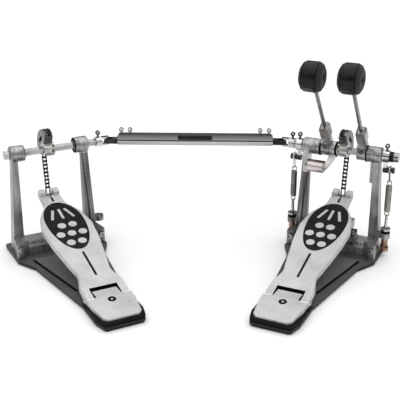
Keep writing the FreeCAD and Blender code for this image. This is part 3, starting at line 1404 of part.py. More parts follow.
def make_drive_rod(pedal):
    """Drive rod with the yoke on its end, in the frame of its universal joint."""
    name = pedal.label
    way = -pedal.out
    shaft = Pedal(pedal.name, way, pedal.place)
    hub = shaft.barrel(name("rod_hub"), "drive_yoke_hub_radius", "drive_yoke_hub_start", "tube_end - part_gap", z="0")
    rod = shaft.barrel(name("rod_bar"), "drive_rod_radius", "drive_yoke_hub_start", "tube_end + drive_rod_insert", z="0")
    pieces = [hub, rod]
    for index, side in enumerate((1, -1)):
        low = "yoke_inner_half" if side > 0 else "-yoke_inner_half - yoke_arm_thickness"
        pieces.append(shaft.box(name(f"rod_arm_{index}"), ("0", "drive_yoke_hub_start + 2"),
                                (low, f"{low} + yoke_arm_thickness"), ("-yoke_ear_radius", "yoke_ear_radius")))
        pieces.append(cylinder(name(f"rod_ear_{index}"), "yoke_ear_radius", "yoke_arm_thickness",
                               ("0", low, "0"), "v"))
    bridge = shaft.box(name("rod_bridge"), ("drive_yoke_hub_start", "drive_yoke_hub_start + 3"),
                       ("-yoke_inner_half - yoke_arm_thickness", "yoke_inner_half + yoke_arm_thickness"),
                       ("-yoke_ear_radius", "yoke_ear_radius"))
    pin_hole = cylinder(name("rod_pin_hole"), "cross_pin_radius + cross_pin_clearance", "4 * cross_pin_half",
                        ("0", "-2 * cross_pin_half", "0"), "v")
    blank = union(name("rod_blank"), bridge, *pieces)
    add_node(name("drive_rod"), minus(name("rod_cut"), blank, pin_hole), joint_place(pedal))


def make_drive_tube():
    """Telescopic tube: round lower half, flat upper bar with a side groove, and its thumb screws."""
    start = joint_place(SLAVE).Base
    end = joint_place(MAIN).Base
    place = Placement(start, Rotation())
    span = end.x - start.x
    length = f"({span} - 2 * tube_end)"
    last = f"{span} - tube_end"
    tube = cylinder("tube_round", "tube_round_radius", length, ("tube_end", "0", "0"), "u")
    body = new_body("tube_bar_body")
    side = profile(body, "tube_bar_side", "XZ_Plane", [
        ("tube_end", "tube_bar_bottom"), (last, "tube_bar_bottom"), (last, "tube_bar_top - tube_bar_chamfer"),
        (f"{last} - tube_bar_chamfer", "tube_bar_top"), ("tube_end + tube_bar_chamfer", "tube_bar_top"),
        ("tube_end", "tube_bar_top - tube_bar_chamfer")])
    pad(body, "tube_bar_pad", side, "2 * tube_bar_half", midplane=True)
    tools = [cylinder("tube_bore", "drive_rod_radius + tube_fit", f"{length} + 2", ("tube_end - 1", "0", "0"), "u")]
    for index, face in enumerate(("-tube_bar_half - 1", "tube_bar_half - tube_groove_depth")):
        tools.append(block(f"tube_groove_{index}", ("tube_end - 1", face, "tube_groove_level"),
                           (f"{length} + 2", "tube_groove_depth + 1", "tube_groove_height")))
    first = "tube_end + tube_screw_inset"
    places = [first, f"{first} + tube_screw_step", f"{span} - ({first})", f"{span} - ({first}) - tube_screw_step"]
    screws = []
    for index, x in enumerate(places):
        tools.append(cylinder(f"tube_screw_hole_{index}", "thumb_stem_radius + running_fit", "tube_bar_top + 1",
                              (x, "0", "0")))
        screws.append(thumb_screw(f"tube_screw_{index}", (x, "0"), "tube_bar_top", "drive_rod_radius + part_gap"))
    add_node("drive_tube", minus("tube_cut", union("tube_blank", tube, body), *tools), place)
    add_node("drive_tube_screws", group("tube_screw_group", screws), place)


def make_axle_screws():
    """Set screws, thumb screws and end pieces of the three axles."""
    rocker = "rocker_inner + rocker_length / 2"
    yoke = "-yoke_hub_start - yoke_hub_length / 2"
    foot = "axle_height + axle_hex_radius + part_gap"

    def collar_screw(pedal, name, w, radius):
        return thumb_screw(name, (pedal.at(w), "0"), f"axle_height + {radius}", foot)

    cap = MAIN.barrel("axle_cap_blank", "end_nut_radius", "axle_outer_end - 6", "axle_outer_end + 2")
    bore = MAIN.barrel("axle_cap_bore", "axle_hex_radius + running_fit", "axle_outer_end - 7", "axle_outer_end + part_gap")
    right = [
        collar_screw(MAIN, "right_rocker_screw", rocker, "rocker_radius"),
        set_screw(MAIN, "main_cam_screw", "-cam_hub_inner + cam_screw_inset", "cam_hub_radius"),
        minus("axle_cap", cap, bore),
    ]
    add_node("right_axle_screws", group("right_screw_group", right), MAIN.place)
    left = [
        collar_screw(MAIN, "left_rocker_screw", f"-({rocker})", "rocker_radius"),
        collar_screw(MAIN, "main_yoke_screw", yoke, "yoke_hub_radius"),
    ]
    add_node("left_axle_screws", group("left_screw_group", left), MAIN.place)
    nut = document.addObject("Part::Prism", "end_nut_blank")
    nut.Polygon = 6
    bind(nut, Circumradius="end_nut_radius", Height="end_nut_length")
    start = "-slave_axle_end + part_gap - 1.5"
    move(nut, (start, "0", "axle_height"), Rotation(Vector(0, 1, 0), 90))
    bore = cylinder("end_nut_bore", "axle_hex_radius + running_fit", "end_nut_length",
                    (f"{start} + 1", "0", "axle_height"), "u")
    slave = [
        collar_screw(SLAVE, "slave_yoke_screw", yoke, "yoke_hub_radius"),
        set_screw(SLAVE, "slave_cam_screw", "-cam_hub_inner + cam_screw_inset", "cam_hub_radius"),
        minus("end_nut", nut, bore),
    ]
    add_node("slave_axle_screws", group("slave_screw_group", slave), SLAVE.place)


def make_clamp():
    """Hoop clamp: tilting jaw with a side arm, and the wing screw that lifts the arm."""
    bottom = "clamp_pivot_height - clamp_jaw_thickness / 2"
    top = "clamp_pivot_height + clamp_jaw_thickness / 2"
    plate = MAIN.box("jaw_plate", ("-clamp_jaw_half", "clamp_jaw_half"), ("-clamp_arm_back", "clamp_jaw_front"),
                     (bottom, top))
    foot = MAIN.box("jaw_foot", ("-clamp_jaw_half", "clamp_jaw_half"), ("clamp_foot_back", "clamp_jaw_front"),
                    ("clamp_foot_bottom", top))
    arm = MAIN.box("jaw_arm", ("clamp_arm_start - 1", "clamp_arm_end"),
                   ("-clamp_arm_back", "-clamp_arm_back + clamp_arm_depth"), (bottom, top))
    blank = union("jaw_blank", plate, foot, arm)
    pin_hole = MAIN.barrel("jaw_pin_hole", "clamp_pin_radius + running_fit", "-clamp_jaw_half - 1",
                           "clamp_jaw_half + 1", "clamp_pivot_front", "clamp_pivot_height")
    screw_hole = cylinder("jaw_screw_hole", "clamp_screw_radius + clamp_screw_clearance", "clamp_jaw_thickness + 2",
                          ("clamp_screw_side", "-clamp_screw_back", f"{bottom} - 1"))
    add_node("hoop_clamp_jaw", minus("jaw_cut", blank, pin_hole, screw_hole), MAIN.place)
    tip = f"{BASE_TOP} + bridge_height - bridge_web + part_gap"
    stem = cylinder("wing_stem", "clamp_screw_radius", f"clamp_wing_bottom + 1 - ({tip})",
                    ("clamp_screw_side", "-clamp_screw_back", tip))
    hub = cylinder("wing_hub", "clamp_screw_radius + 1.2", "clamp_wing_top - clamp_wing_bottom - 1",
                   ("clamp_screw_side", "-clamp_screw_back", "clamp_wing_bottom"))
    wing = block("wing_blade", ("clamp_screw_side - clamp_wing_half", "-clamp_screw_back - clamp_wing_thickness / 2",
                                "clamp_wing_bottom"),
                 ("2 * clamp_wing_half", "clamp_wing_thickness", "clamp_wing_top - clamp_wing_bottom"))
    add_node("hoop_clamp_screw", union("wing_screw", stem, hub, wing), MAIN.place)


def build():
    """Make every sub-part in order."""
    for pedal in (MAIN, SLAVE):
        make_base(pedal)
        make_frame(pedal)
        make_footboard(pedal)
        make_chain(pedal)
        make_cam(pedal)
        make_coupling_yoke(pedal)
        make_cross(pedal)
        make_drive_rod(pedal)
    make_main_axles()
    make_slave_axle()
    make_mid_bracket()
    for side, label in ((1, "right"), (-1, "left")):
        make_beater(side, label)
        make_rocker(side, label)
        make_spring(side, label)
    make_adjusters()
    make_drive_tube()
    make_axle_screws()
    make_clamp()


def check_and_write():
    """Stop on any failed object, then write one file per sub-part."""
    document.recompute()
    for item in document.Objects:
        if "Invalid" in item.State or "Error" in item.State:
            raise RuntimeError(f"{item.Label} failed: {item.State}")
    for label, item in nodes.items():
        if item.Shape.isNull() or not item.Shape.isValid():
            raise RuntimeError(f"{label} has no valid shape")
    os.makedirs("parts", exist_ok=True)
    for label, item in nodes.items():
        item.Shape.exportStep(f"parts/{label}.step")
    print(len(nodes), "sub-parts written")


build()
check_and_write()
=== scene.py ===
"""Looks of a double bass drum pedal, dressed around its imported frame. Metres, +Z up."""
import logging
from dataclasses import dataclass, field
from enum import Enum
from math import acos, cos, pi, radians, sin, tan
from typing import Any, Mapping, Sequence

import bmesh
import bpy
from mathutils import Matrix, Vector


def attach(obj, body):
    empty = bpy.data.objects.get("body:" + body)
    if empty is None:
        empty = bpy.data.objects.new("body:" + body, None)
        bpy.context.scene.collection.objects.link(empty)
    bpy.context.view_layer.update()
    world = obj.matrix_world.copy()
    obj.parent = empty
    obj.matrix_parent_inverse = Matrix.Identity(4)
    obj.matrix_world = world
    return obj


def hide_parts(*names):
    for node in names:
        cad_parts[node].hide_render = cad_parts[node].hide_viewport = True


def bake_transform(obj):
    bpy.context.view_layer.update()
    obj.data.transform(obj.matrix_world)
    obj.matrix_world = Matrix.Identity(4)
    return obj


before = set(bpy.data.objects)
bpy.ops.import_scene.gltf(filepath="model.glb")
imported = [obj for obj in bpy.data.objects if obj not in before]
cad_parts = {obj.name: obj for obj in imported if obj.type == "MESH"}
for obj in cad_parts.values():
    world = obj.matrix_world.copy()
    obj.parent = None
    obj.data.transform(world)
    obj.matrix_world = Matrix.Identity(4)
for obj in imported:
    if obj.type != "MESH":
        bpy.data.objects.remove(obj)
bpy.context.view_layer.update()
LOG = logging.getLogger("double_pedal")
MM = 0.001

Point2 = tuple[float, float]
Point3 = tuple[float, float, float]
Corner = Point3
Colour = Point3
Mesh = bmesh.types.BMesh
Material = bpy.types.Material


@dataclass(frozen=True)
class Layout:
    """Driving sizes that the pieces share with the frame."""

    main_yaw: float = radians(24.2)
    slave_yaw: float = radians(28.9)
    spacing: float = 474 * MM
    axle_height: float = 172 * MM
    joint_offset: float = 100 * MM
    spring_side: float = 80 * MM
    right_hub: float = 33 * MM
    left_hub: float = -26.5 * MM
    hinge_back: float = 232 * MM
    hinge_height: float = 17 * MM
    board_slope: float = radians(14.8)

    @property
    def slave_back(self) -> float:
        """Distance that keeps the drive shaft along X."""
        return self.joint_offset * (sin(self.slave_yaw) - sin(self.main_yaw))

    @property
    def shaft_middle(self) -> Vector:
        """Middle of the drive shaft."""
        reach = self.joint_offset * (cos(self.slave_yaw) - cos(self.main_yaw)) / 2
        return Vector((-self.spacing / 2 + reach, self.joint_offset * sin(self.main_yaw), self.axle_height))


LAYOUT = Layout()


def moved(*way: float) -> Matrix:
    """Frame moved by a vector."""
    return Matrix.Translation(way)


def turned(angle: float, axis: str) -> Matrix:
    """Frame turned about the X, Y or Z axis."""
    return Matrix.Rotation(angle, 4, axis)


class Labelled(Enum):
    """Enum whose members name nodes and bodies."""

    @property
    def label(self) -> str:
        """Lower-case name used in node and body names."""
        return self.name.lower()

    @classmethod
    def nodes(cls, *names: str) -> tuple[str, ...]:
        """Node names that every member has."""
        return tuple(f"{member.label}_{name}" for name in names for member in cls)


class Side(Labelled):
    """Side of the main axle, with its sign along the axle."""

    RIGHT = 1
    LEFT = -1

    @property
    def hub_offset(self) -> float:
        """Place of the beater's hub along the axle."""
        return LAYOUT.right_hub if self is Side.RIGHT else LAYOUT.left_hub


class Pedal(Labelled):
    """One of the two pedals, with the sign of its outer end along the axle."""

    MAIN = 1
    SLAVE = -1

    @property
    def place(self) -> Matrix:
        """Frame of the pedal: u along the axle, v to the drum, z up."""
        if self is Pedal.MAIN:
            return turned(-LAYOUT.main_yaw, "Z")
        start = Vector((-LAYOUT.spacing, -LAYOUT.slave_back, 0))
        return moved(*start) @ turned(LAYOUT.slave_yaw, "Z")

    @property
    def axle(self) -> Matrix:
        """Frame on the middle of the pedal's axle line."""
        return self.place @ moved(0, 0, LAYOUT.axle_height)

    @property
    def board(self) -> Matrix:
        """Frame of the footboard: origin on its hinge, y up the slope."""
        hinge = moved(0, -LAYOUT.hinge_back, LAYOUT.hinge_height)
        return self.place @ hinge @ turned(LAYOUT.board_slope, "X")


class Value:
    """Socket of a shader graph that takes part in Python expressions."""

    def __init__(self, graph: "Graph", socket: bpy.types.NodeSocket) -> None:
        """Wrap an output socket of a graph."""
        self.graph = graph
        self.socket = socket

    def _math(self, operation: str, first: Any, second: Any) -> "Value":
        """Result of one Math node on two operands, each a number or a Value."""
        return self.graph.node("ShaderNodeMath", {"operation": operation}, {0: first, 1: second})

    def __add__(self, other: Any) -> "Value":
        """Sum."""
        return self._math("ADD", self, other)

    __radd__ = __add__

    def __sub__(self, other: Any) -> "Value":
        """Difference."""
        return self._math("SUBTRACT", self, other)

    def __rsub__(self, other: Any) -> "Value":
        """Reflected difference."""
        return self._math("SUBTRACT", other, self)

    def __mul__(self, other: Any) -> "Value":
        """Product."""
        return self._math("MULTIPLY", self, other)

    __rmul__ = __mul__

    def __gt__(self, other: Any) -> "Value":
        """One where this is the greater, else zero."""
        return self._math("GREATER_THAN", self, other)

    def __lt__(self, other: Any) -> "Value":
        """One where this is the lesser, else zero."""
        return self._math("LESS_THAN", self, other)

    def __abs__(self) -> "Value":
        """Size without sign."""
        return self._math("ABSOLUTE", self, 0.0)


class Graph:
    """Shader graph of one material or world, with one main shader on its output."""

    def __init__(self, owner: Material | bpy.types.World, shader: str, output: str) -> None:
        """Empty an owner's graph and join a shader to an output node.

        Args:
            owner: material or world.
            shader: type name of its main shader.
            output: type name of its output node.
        """
        owner.use_nodes = True
        self.owner = owner
        self.tree = owner.node_tree
        self.tree.nodes.clear()
        self.shader = self.tree.nodes.new(shader)
        self.tree.links.new(self.shader.outputs[0], self.tree.nodes.new(output).inputs["Surface"])

    @classmethod
    def surface(cls, name: str) -> "Graph":
        """Graph of a new material."""
        return cls(bpy.data.materials.new(name), "ShaderNodeBsdfPrincipled", "ShaderNodeOutputMaterial")

    def node(self, kind: str, settings: Mapping[str, Any] | None = None,
             sockets: Mapping[Any, Any] | None = None, output: Any = 0) -> Value:
        """Add any node.

        Args:
            kind: Blender's type name of the node.
            settings: properties that are set first; "stops" fills a colour ramp.
            sockets: numbers, colours or Values of its inputs, by name or index.
            output: name or index of the output to return.

        Returns:
            The chosen output.
        """
        made = self.tree.nodes.new(kind)
        for key, value in (settings or {}).items():
            if key == "stops":
                self._fill_ramp(made.color_ramp, value)
            else:
                setattr(made, key, value)
        for key, value in (sockets or {}).items():
            self.feed(made.inputs[key], value)
        return Value(self, made.outputs[output])

    @staticmethod
    def _fill_ramp(ramp: bpy.types.ColorRamp, stops: Sequence[Point2]) -> None:
        """Set the stops of a grey ramp.

        Args:
            ramp: the ramp.
            stops: position and level of each stop.
        """
        while len(ramp.elements) < len(stops):
            ramp.elements.new(1.0)
        for element, (position, level) in zip(ramp.elements, stops):
            element.position = position
            element.color = (*grey(level), 1.0)

    def feed(self, socket: bpy.types.NodeSocket, value: Any) -> None:
        """Link or set an input.

        Args:
            socket: the input.
            value: Value that is linked, or number, vector or colour that is set.
        """
        if isinstance(value, Value):
            self.tree.links.new(value.socket, socket)
        elif socket.type == "RGBA":
            socket.default_value = (*value, 1.0)
        else:
            socket.default_value = value

    def set(self, **inputs: Any) -> None:
        """Feed the main shader; underscores in names stand for spaces."""
        for key, value in inputs.items():
            self.feed(self.shader.inputs[key.replace("_", " ")], value)

    def place(self) -> Value:
        """Position on the piece in the part's frame."""
        return self.node("ShaderNodeTexCoord", output="Object")

    def mapped(self, **sockets: Any) -> Value:
        """Position after a Mapping node with some of its sockets set."""
        return self.node("ShaderNodeMapping", {"vector_type": "POINT"}, {"Vector": self.place(), **sockets})

    def part(self, vector: Value, axis: str) -> Value:
        """One coordinate, X, Y or Z, of a vector."""
        return self.node("ShaderNodeSeparateXYZ", None, {0: vector}, output=axis)

    def within(self, frame_of: Matrix, axes: str) -> list[Value]:
        """Coordinates of the position in another frame.

        Args:
            frame_of: the other frame, written in the part's frame.
            axes: letters of the wanted axes.

        Returns:
            One coordinate for each letter.
        """
        back = frame_of.inverted()
        there = self.mapped(Location=back.to_translation(), Rotation=back.to_euler())
        return [self.part(there, axis) for axis in axes]

    def height(self) -> Value:
        """Height above the floor in the rest pose."""
        return self.part(self.place(), "Z")

    def noise(self, scale: float, detail: float, vector: Value | None = None, rough: float = 0.5) -> Value:
        """Noise from 0 to 1 by cells per metre and octaves, on the place unless a vector is given."""
        sockets = {"Vector": vector or self.place(), "Scale": scale, "Detail": detail, "Roughness": rough}
        return self.node("ShaderNodeTexNoise", None, sockets)

    @staticmethod
    def disc(x: Value, y: Value, radius: float) -> Value:
        """One within a radius of an axis, else zero."""
        return x * x + y * y < radius ** 2

    def ramp(self, value: Value, *stops: Point2) -> Value:
        """Grey ramp of a value."""
        return self.node("ShaderNodeValToRGB", {"stops": stops}, {0: value})

    def mix(self, factor: Any, first: Any, second: Any) -> Value:
        """Blend of two colours."""
        return self.node("ShaderNodeMix", {"data_type": "RGBA"}, {0: factor, 6: first, 7: second}, output=2)

    def bump(self, height: Value, strength: float, distance: float) -> Value:
        """Normal bumped by a height field whose full height is a distance in metres."""
        sockets = {"Height": height, "Strength": strength, "Distance": distance}
        return self.node("ShaderNodeBump", None, sockets)


def grey(level: float) -> Colour:
    """Neutral colour of one level."""
    return (level, level, level)


BLACK = grey(0.006)


@dataclass(frozen=True)
class Finish:
    """Surface finish that becomes one material, toned by clouds and a finer grain."""

    name: str
    light: Colour
    dark: Colour
    rough: Point2 = (0.3, 0.5)
    metal: float = 1.0
    grain: float = 900.0
    relief: float = 0.03 * MM
    strength: float = 0.5
    shine: float = 0.5
    cloud: float = 45.0
    cloud_detail: float = 4.0
    grain_share: float = 0.25
    spread: Point2 = (0.32, 0.68)

    def material(self) -> Material:
        """The finish's material, made once."""
        return bpy.data.materials.get(self.name) or self.make(Graph.surface(self.name))

    def make(self, graph: Graph) -> Material:
        """Fill the material's graph.

        Args:
            graph: the material's empty graph.

        Returns:
            The material.
        """
        cloud = graph.noise(self.cloud, self.cloud_detail)
        fine = self.fine(graph)
        tone = self.tone(graph, cloud * (1 - self.grain_share) + fine * self.grain_share)
        return self.lay(graph, tone, gloss=fine, height=fine)

    def fine(self, graph: Graph) -> Value:
        """Field of the grain."""
        return graph.noise(self.grain, detail=2.0)

    def tone(self, graph: Graph, mixture: Value) -> Value:
        """Tone from 0, dark, to 1, light, for the middle part of a mixture of fields."""
        return graph.ramp(mixture, (self.spread[0], 0.0), (self.spread[1], 1.0))

    def colour(self, graph: Graph, tone: Value) -> Value:
        """Colour for a tone."""
        return graph.mix(tone, self.dark, self.light)

    def zone(self, graph: Graph, tone: Value, inside: Value, dark: Colour, light: Colour) -> Value:
        """Colour for a tone, with another dark and light inside a mask."""
        return graph.mix(inside, graph.mix(tone, self.dark, self.light), graph.mix(tone, dark, light))

    def roughness(self, graph: Graph, gloss: Value) -> Value:
        """Roughness that a field spreads over its range."""
        return gloss * (self.rough[1] - self.rough[0]) + self.rough[0]

    def metalness(self, graph: Graph) -> Value | float:
        """Share of metal."""
        return self.metal

    def lay(self, graph: Graph, tone: Value, gloss: Value, height: Value) -> Material:
        """Feed the finish's fields to its shader.

        Args:
            graph: the material's graph.
            tone: field from 0, dark, to 1, light.
            gloss: field that spreads the roughness over its range.
            height: field that stands up as relief.

        Returns:
            The material.
        """
        graph.set(Base_Color=self.colour(graph, tone), Metallic=self.metalness(graph))
        graph.set(Roughness=self.roughness(graph, gloss), Specular_IOR_Level=self.shine)
        graph.set(Normal=graph.bump(height, self.strength, self.relief))
        return graph.owner


@dataclass(frozen=True)
class Plating(Finish):
    """Smooth plated metal."""

    rough: Point2 = (0.08, 0.25)
    grain: float = 700.0
    relief: float = 0.02 * MM


@dataclass(frozen=True)
class NutPlating(Plating):
    """Dark screws of an axle, with a brighter nut at the end away from the drive shaft."""

    rough: Point2 = (0.08, 0.22)
    pedal: Pedal = Pedal.MAIN
    nut_start: float = 83 * MM
    nut_light: Colour = (0.6, 0.6, 0.61)
    nut_dark: Colour = (0.24, 0.24, 0.245)

    def colour(self, graph: Graph, tone: Value) -> Value:
        """Colour with the nut brightened."""
        nut = graph.within(self.pedal.axle, "X")[0] * self.pedal.value > self.nut_start
        return self.zone(graph, tone, nut, self.nut_dark, self.nut_light)


@dataclass(frozen=True)
class TwoTone(Plating):
    """Plated piece that has another finish below one height of the rest pose."""

    strength: float = 0.3
    cloud: float = 120.0
    cloud_detail: float = 3.0
    grain_share: float = 0.0
    spread: Point2 = (0.35, 0.65)
    below: float = 33.5 * MM
    low_light: Colour = (0.44, 0.29, 0.23)
    low_dark: Colour = (0.13, 0.075, 0.06)
    low_rough: float = 0.1
    low_metal: float = 1.0

    def under(self, graph: Graph) -> Value:
        """One below the height, else zero."""
        return graph.height() < self.below

    def colour(self, graph: Graph, tone: Value) -> Value:
        """Colour with that of the lower part."""
        return self.zone(graph, tone, self.under(graph), self.low_dark, self.low_light)

    def roughness(self, graph: Graph, gloss: Value) -> Value:
        """Roughness with more of it on the lower part."""
        return super().roughness(graph, gloss) + self.under(graph) * self.low_rough

    def metalness(self, graph: Graph) -> Value:
        """Share of metal with that of the lower part."""
        return self.metal + self.under(graph) * (self.low_metal - self.metal)


@dataclass(frozen=True)
class Casting(Finish):
    """Cast aluminium with upright die streaks and duller patches."""

    rough: Point2 = (0.24, 0.5)
    metal: float = 0.95
    grain: float = 1100.0
    relief: float = 0.15 * MM
    strength: float = 0.6
    cloud: float = 38.0
    cloud_detail: float = 3.0
    spread: Point2 = (0.36, 0.64)
    streak: Point3 = (260.0, 260.0, 7.0)

    def make(self, graph: Graph) -> Material:
        """Fill the material's graph.

        Args:
            graph: the material's empty graph.

        Returns:
            The material.
        """
        streaks = graph.noise(scale=1.0, detail=4.0, vector=graph.mapped(Scale=self.streak))
        patches = graph.noise(self.cloud, self.cloud_detail)
        grit = self.fine(graph)
        tone = self.tone(graph, streaks * 0.5 + patches * 0.35 + grit * 0.15)
        return self.lay(graph, tone, gloss=grit * 0.5 + patches * 0.5, height=grit * 0.7 + streaks * 0.3)


@dataclass(frozen=True)
class DulledPost(Casting):
    """Cast post with painted shade: darker below its bearing housing."""

    housing_bottom: float = 158.5 * MM
    # share of the casting's colour kept below the housing: painted shade
    dull: float = 0.5

    def colour(self, graph: Graph, tone: Value) -> Value:
        """Colour with painted shade on the post below the housing."""
        dark, light = (tuple(part * self.dull for part in colour) for colour in (self.dark, self.light))
        return self.zone(graph, tone, graph.height() < self.housing_bottom, dark, light)


@dataclass(frozen=True)
class HubbedCasting(Casting):
    """Cast cam whose turned hub is brighter than its disc."""

    light: Colour = (0.32, 0.315, 0.31)
    dark: Colour = grey(0.04)
    rough: Point2 = (0.25, 0.5)
    relief: float = 0.18 * MM
    streak: Point3 = (150.0, 150.0, 150.0)
    pedal: Pedal = Pedal.MAIN
    hub_radius: float = 12.5 * MM
    hub_light: Colour = (0.8, 0.78, 0.76)
    hub_dark: Colour = (0.36, 0.35, 0.34)

    def colour(self, graph: Graph, tone: Value) -> Value:
        """Colour with the hub brightened."""
        hub = graph.disc(*graph.within(self.pedal.axle, "YZ"), self.hub_radius)
        return self.zone(graph, tone, hub, self.hub_dark, self.hub_light)


@dataclass(frozen=True)
class BarredCasting(Casting):
    """Cast bearing bracket whose bar has a bright polish and painted light, placed from the middle of the
    main axle.
    """

    bar_start: float = -48 * MM
    bar_end: float = -22.3 * MM
    bar_back: float = 22.5 * MM
    bar_drop: float = 25.5 * MM
    bar_radius: float = 10.2 * MM
    # painted light: shade at the bar's top and bottom, its bright colour between
    bar_light: tuple[Point2, ...] = ((0.05, 0.0), (0.14, 0.85), (0.84, 1.0), (0.93, 0.0))
    polished: Colour = (0.78, 0.7, 0.68)
    shaded: Colour = (0.16, 0.13, 0.125)

    def colour(self, graph: Graph, tone: Value) -> Value:
        """Colour with the bar's polish, painted light between painted shade along its top and bottom.

        Args:
            graph: the material's graph.
            tone: field from 0, dark, to 1, light.

        Returns:
            The colour.
        """
        across, along, rise = graph.within(Pedal.MAIN.axle, "XYZ")
        up = rise + self.bar_drop
        ends = (across > self.bar_start) * (across < self.bar_end)
        bar = graph.disc(along + self.bar_back, up, self.bar_radius) * ends
        # painted light and shade across the bar by height
        painted_light = graph.ramp(up * (0.5 / self.bar_radius) + 0.5, *self.bar_light)
        return graph.mix(bar, super().colour(graph, tone), graph.mix(painted_light, self.shaded, self.polished))


@dataclass(frozen=True)
class Coated(Finish):
    """Coated base plate: a raised panel, a flange of its own tone, a black heel, and black sides as painted
    shade below its lighter top.
    """

    light: Colour = (0.19, 0.19, 0.192)
    dark: Colour = (0.1, 0.1, 0.101)
    rough: Point2 = (0.45, 0.65)
    metal: float = 0.1
    grain: float = 1400.0
    relief: float = 0.08 * MM
    strength: float = 0.6
    cloud: float = 30.0
    pedal: Pedal = Pedal.MAIN
    flange: Colour = (0.07, 0.07, 0.071)
    panel_level: float = 7.8 * MM
    heel_back: float = -226 * MM
    edge_tilt: float = 0.6

    def make(self, graph: Graph) -> Material:
        """Fill the material's graph: plain clouds, with the grain as orange peel only."""
        cloud = graph.noise(self.cloud, self.cloud_detail)
        return self.lay(graph, cloud, gloss=cloud, height=self.fine(graph))

    def colour(self, graph: Graph, tone: Value) -> Value:
        """Colour of panel and flange, black at the heel, and black where the plate faces sideways: painted
        shade that leaves the top lighter than the sides.

        Args:
            graph: the material's graph.
            tone: field from 0, dark, to 1, light.

        Returns:
            The colour.
        """
        raised = graph.height() > self.panel_level
        top = graph.mix(raised, graph.mix(tone, self.dark, self.flange), super().colour(graph, tone))
        # painted shade: sideways faces go black, upward faces keep the lighter top tones
        facing = graph.part(graph.node("ShaderNodeNewGeometry", output="Normal"), "Z")
        heel = graph.within(self.pedal.place, "Y")[0] < self.heel_back
        return graph.mix((facing < self.edge_tilt) + heel, top, BLACK)


@dataclass(frozen=True)
class Banded(Finish):
    """Drawn aluminium section with painted light and shade along it, stepped by height as the highlights and
    shade of its flutes.
    """

    strength: float = 0.3
    bottom: float = 165 * MM
    top: float = 187 * MM
    drawn: Point3 = (4.0, 600.0, 600.0)
    waver: float = 0.06
    # painted light and shade: levels of highlight and shade from bottom to top of the section
    bands: tuple[Point2, ...] = (
        (0.0, 0.3), (0.16, 0.5), (0.36, 0.62), (0.4, 0.06), (0.44, 0.2), (0.52, 0.42), (0.6, 0.24),
        (0.9, 0.12), (1.0, 0.34))

    def make(self, graph: Graph) -> Material:
        """Fill the material's graph.

        Args:
            graph: the material's empty graph.

        Returns:
            The material.
        """
        drawn = graph.noise(scale=1.0, detail=4.0, vector=graph.mapped(Scale=self.drawn))
        share = (graph.height() - self.bottom) * (1 / (self.top - self.bottom))
        painted_light_band = graph.ramp(share + (drawn - 0.5) * self.waver, *self.bands)
        return self.lay(graph, painted_light_band, gloss=drawn, height=self.fine(graph) * 0.3 + drawn * 0.7)


@dataclass(frozen=True)
class Satin(Finish):
    """Bright blasted aluminium with a fine sparkle."""

    light: Colour = (0.71, 0.71, 0.715)
    dark: Colour = (0.38, 0.38, 0.385)
    rough: Point2 = (0.42, 0.6)
    metal: float = 0.4
    grain: float = 1300.0
    relief: float = 0.1 * MM
    strength: float = 0.35
    cloud: float = 22.0
    grain_share: float = 0.5
    spread: Point2 = (0.25, 0.62)
    pedal: Pedal = Pedal.MAIN

    def fine(self, graph: Graph) -> Value:
        """Field of the sparkle."""
        return graph.node("ShaderNodeTexVoronoi", None, {"Vector": graph.place(), "Scale": self.grain})


@dataclass(frozen=True)
class SlottedBoard(Satin):
    """Satin footboard with painted shade: black in its hinge slot and darker along its rear edge."""

    rear: float = -10.9 * MM
    rear_tone: Colour = grey(0.16)
    slot_half: float = 22.3 * MM
    slot_front: float = 13.5 * MM
    slot_top: float = 6.3 * MM

    def colour(self, graph: Graph, tone: Value) -> Value:
        """Colour with painted shade: the rear edge darker and the walls of the slot blackened.

        Args:
            graph: the material's graph.
            tone: field from 0, dark, to 1, light.

        Returns:
            The colour.
        """
        across, along, rise = graph.within(self.pedal.board, "XYZ")
        # painted shade: the slot's walls go black where the gap lies in shadow
        inside = (abs(across) < self.slot_half) * (along < self.slot_front) * (rise < self.slot_top)
        rear_shaded = graph.mix(along < self.rear, super().colour(graph, tone), self.rear_tone)
        return graph.mix(inside, rear_shaded, BLACK)


@dataclass(frozen=True)
class TonguedPlate(Satin):
    """Satin heel plate with a painted highlight along its front edge and painted shade, black, on the walls
    of its hinge tongue.
    """

    front: float = -247.6 * MM
    front_tone: Colour = grey(0.97)
    tongue_half: float = 22.3 * MM
    tongue_back: float = -245 * MM
    tongue_top: float = 22.6 * MM

    def colour(self, graph: Graph, tone: Value) -> Value:
        """Colour with a painted highlight on the front edge and the walls of the tongue blackened as painted
        shade.

        Args:
            graph: the material's graph.
            tone: field from 0, dark, to 1, light.

        Returns:
            The colour.
        """
        across, along, rise = graph.within(self.pedal.place, "XYZ")
        # painted shade: the tongue's walls go black where the gap lies in shadow
        walls = (abs(across) < self.tongue_half) * (along > self.tongue_back) * (rise < self.tongue_top)
        # painted highlight: a bright strip along the front edge for the light on its rim
        highlight_strip = (along > self.front) * (abs(across) > self.tongue_half)
        return graph.mix(walls, graph.mix(highlight_strip, super().colour(graph, tone), self.front_tone), BLACK)


@dataclass(frozen=True)
class Moulding(Finish):
    """Moulded rubber or plastic."""

    metal: float = 0.0
    grain: float = 1300.0


@dataclass(frozen=True)
class Felt(Finish):
    """Pressed felt: matt, with short crossed fibres."""

    rough: Point2 = (0.8, 0.98)
    metal: float = 0.0
    grain: float = 3200.0
    relief: float = 0.3 * MM
    strength: float = 0.9
    cloud: float = 160.0
    cloud_detail: float = 3.0
    grain_share: float = 0.7
    spread: Point2 = (0.35, 0.65)
    sheen: float = 0.12
    sheen_rough: float = 0.6

    def fine(self, graph: Graph) -> Value:
        """Field of the fibres."""
        return graph.noise(self.grain, detail=6.0, rough=0.75)

    def make(self, graph: Graph) -> Material:
        """Fill the material's graph, with a sheen."""
        graph.set(Sheen_Weight=self.sheen, Sheen_Roughness=self.sheen_rough)
        return super().make(graph)


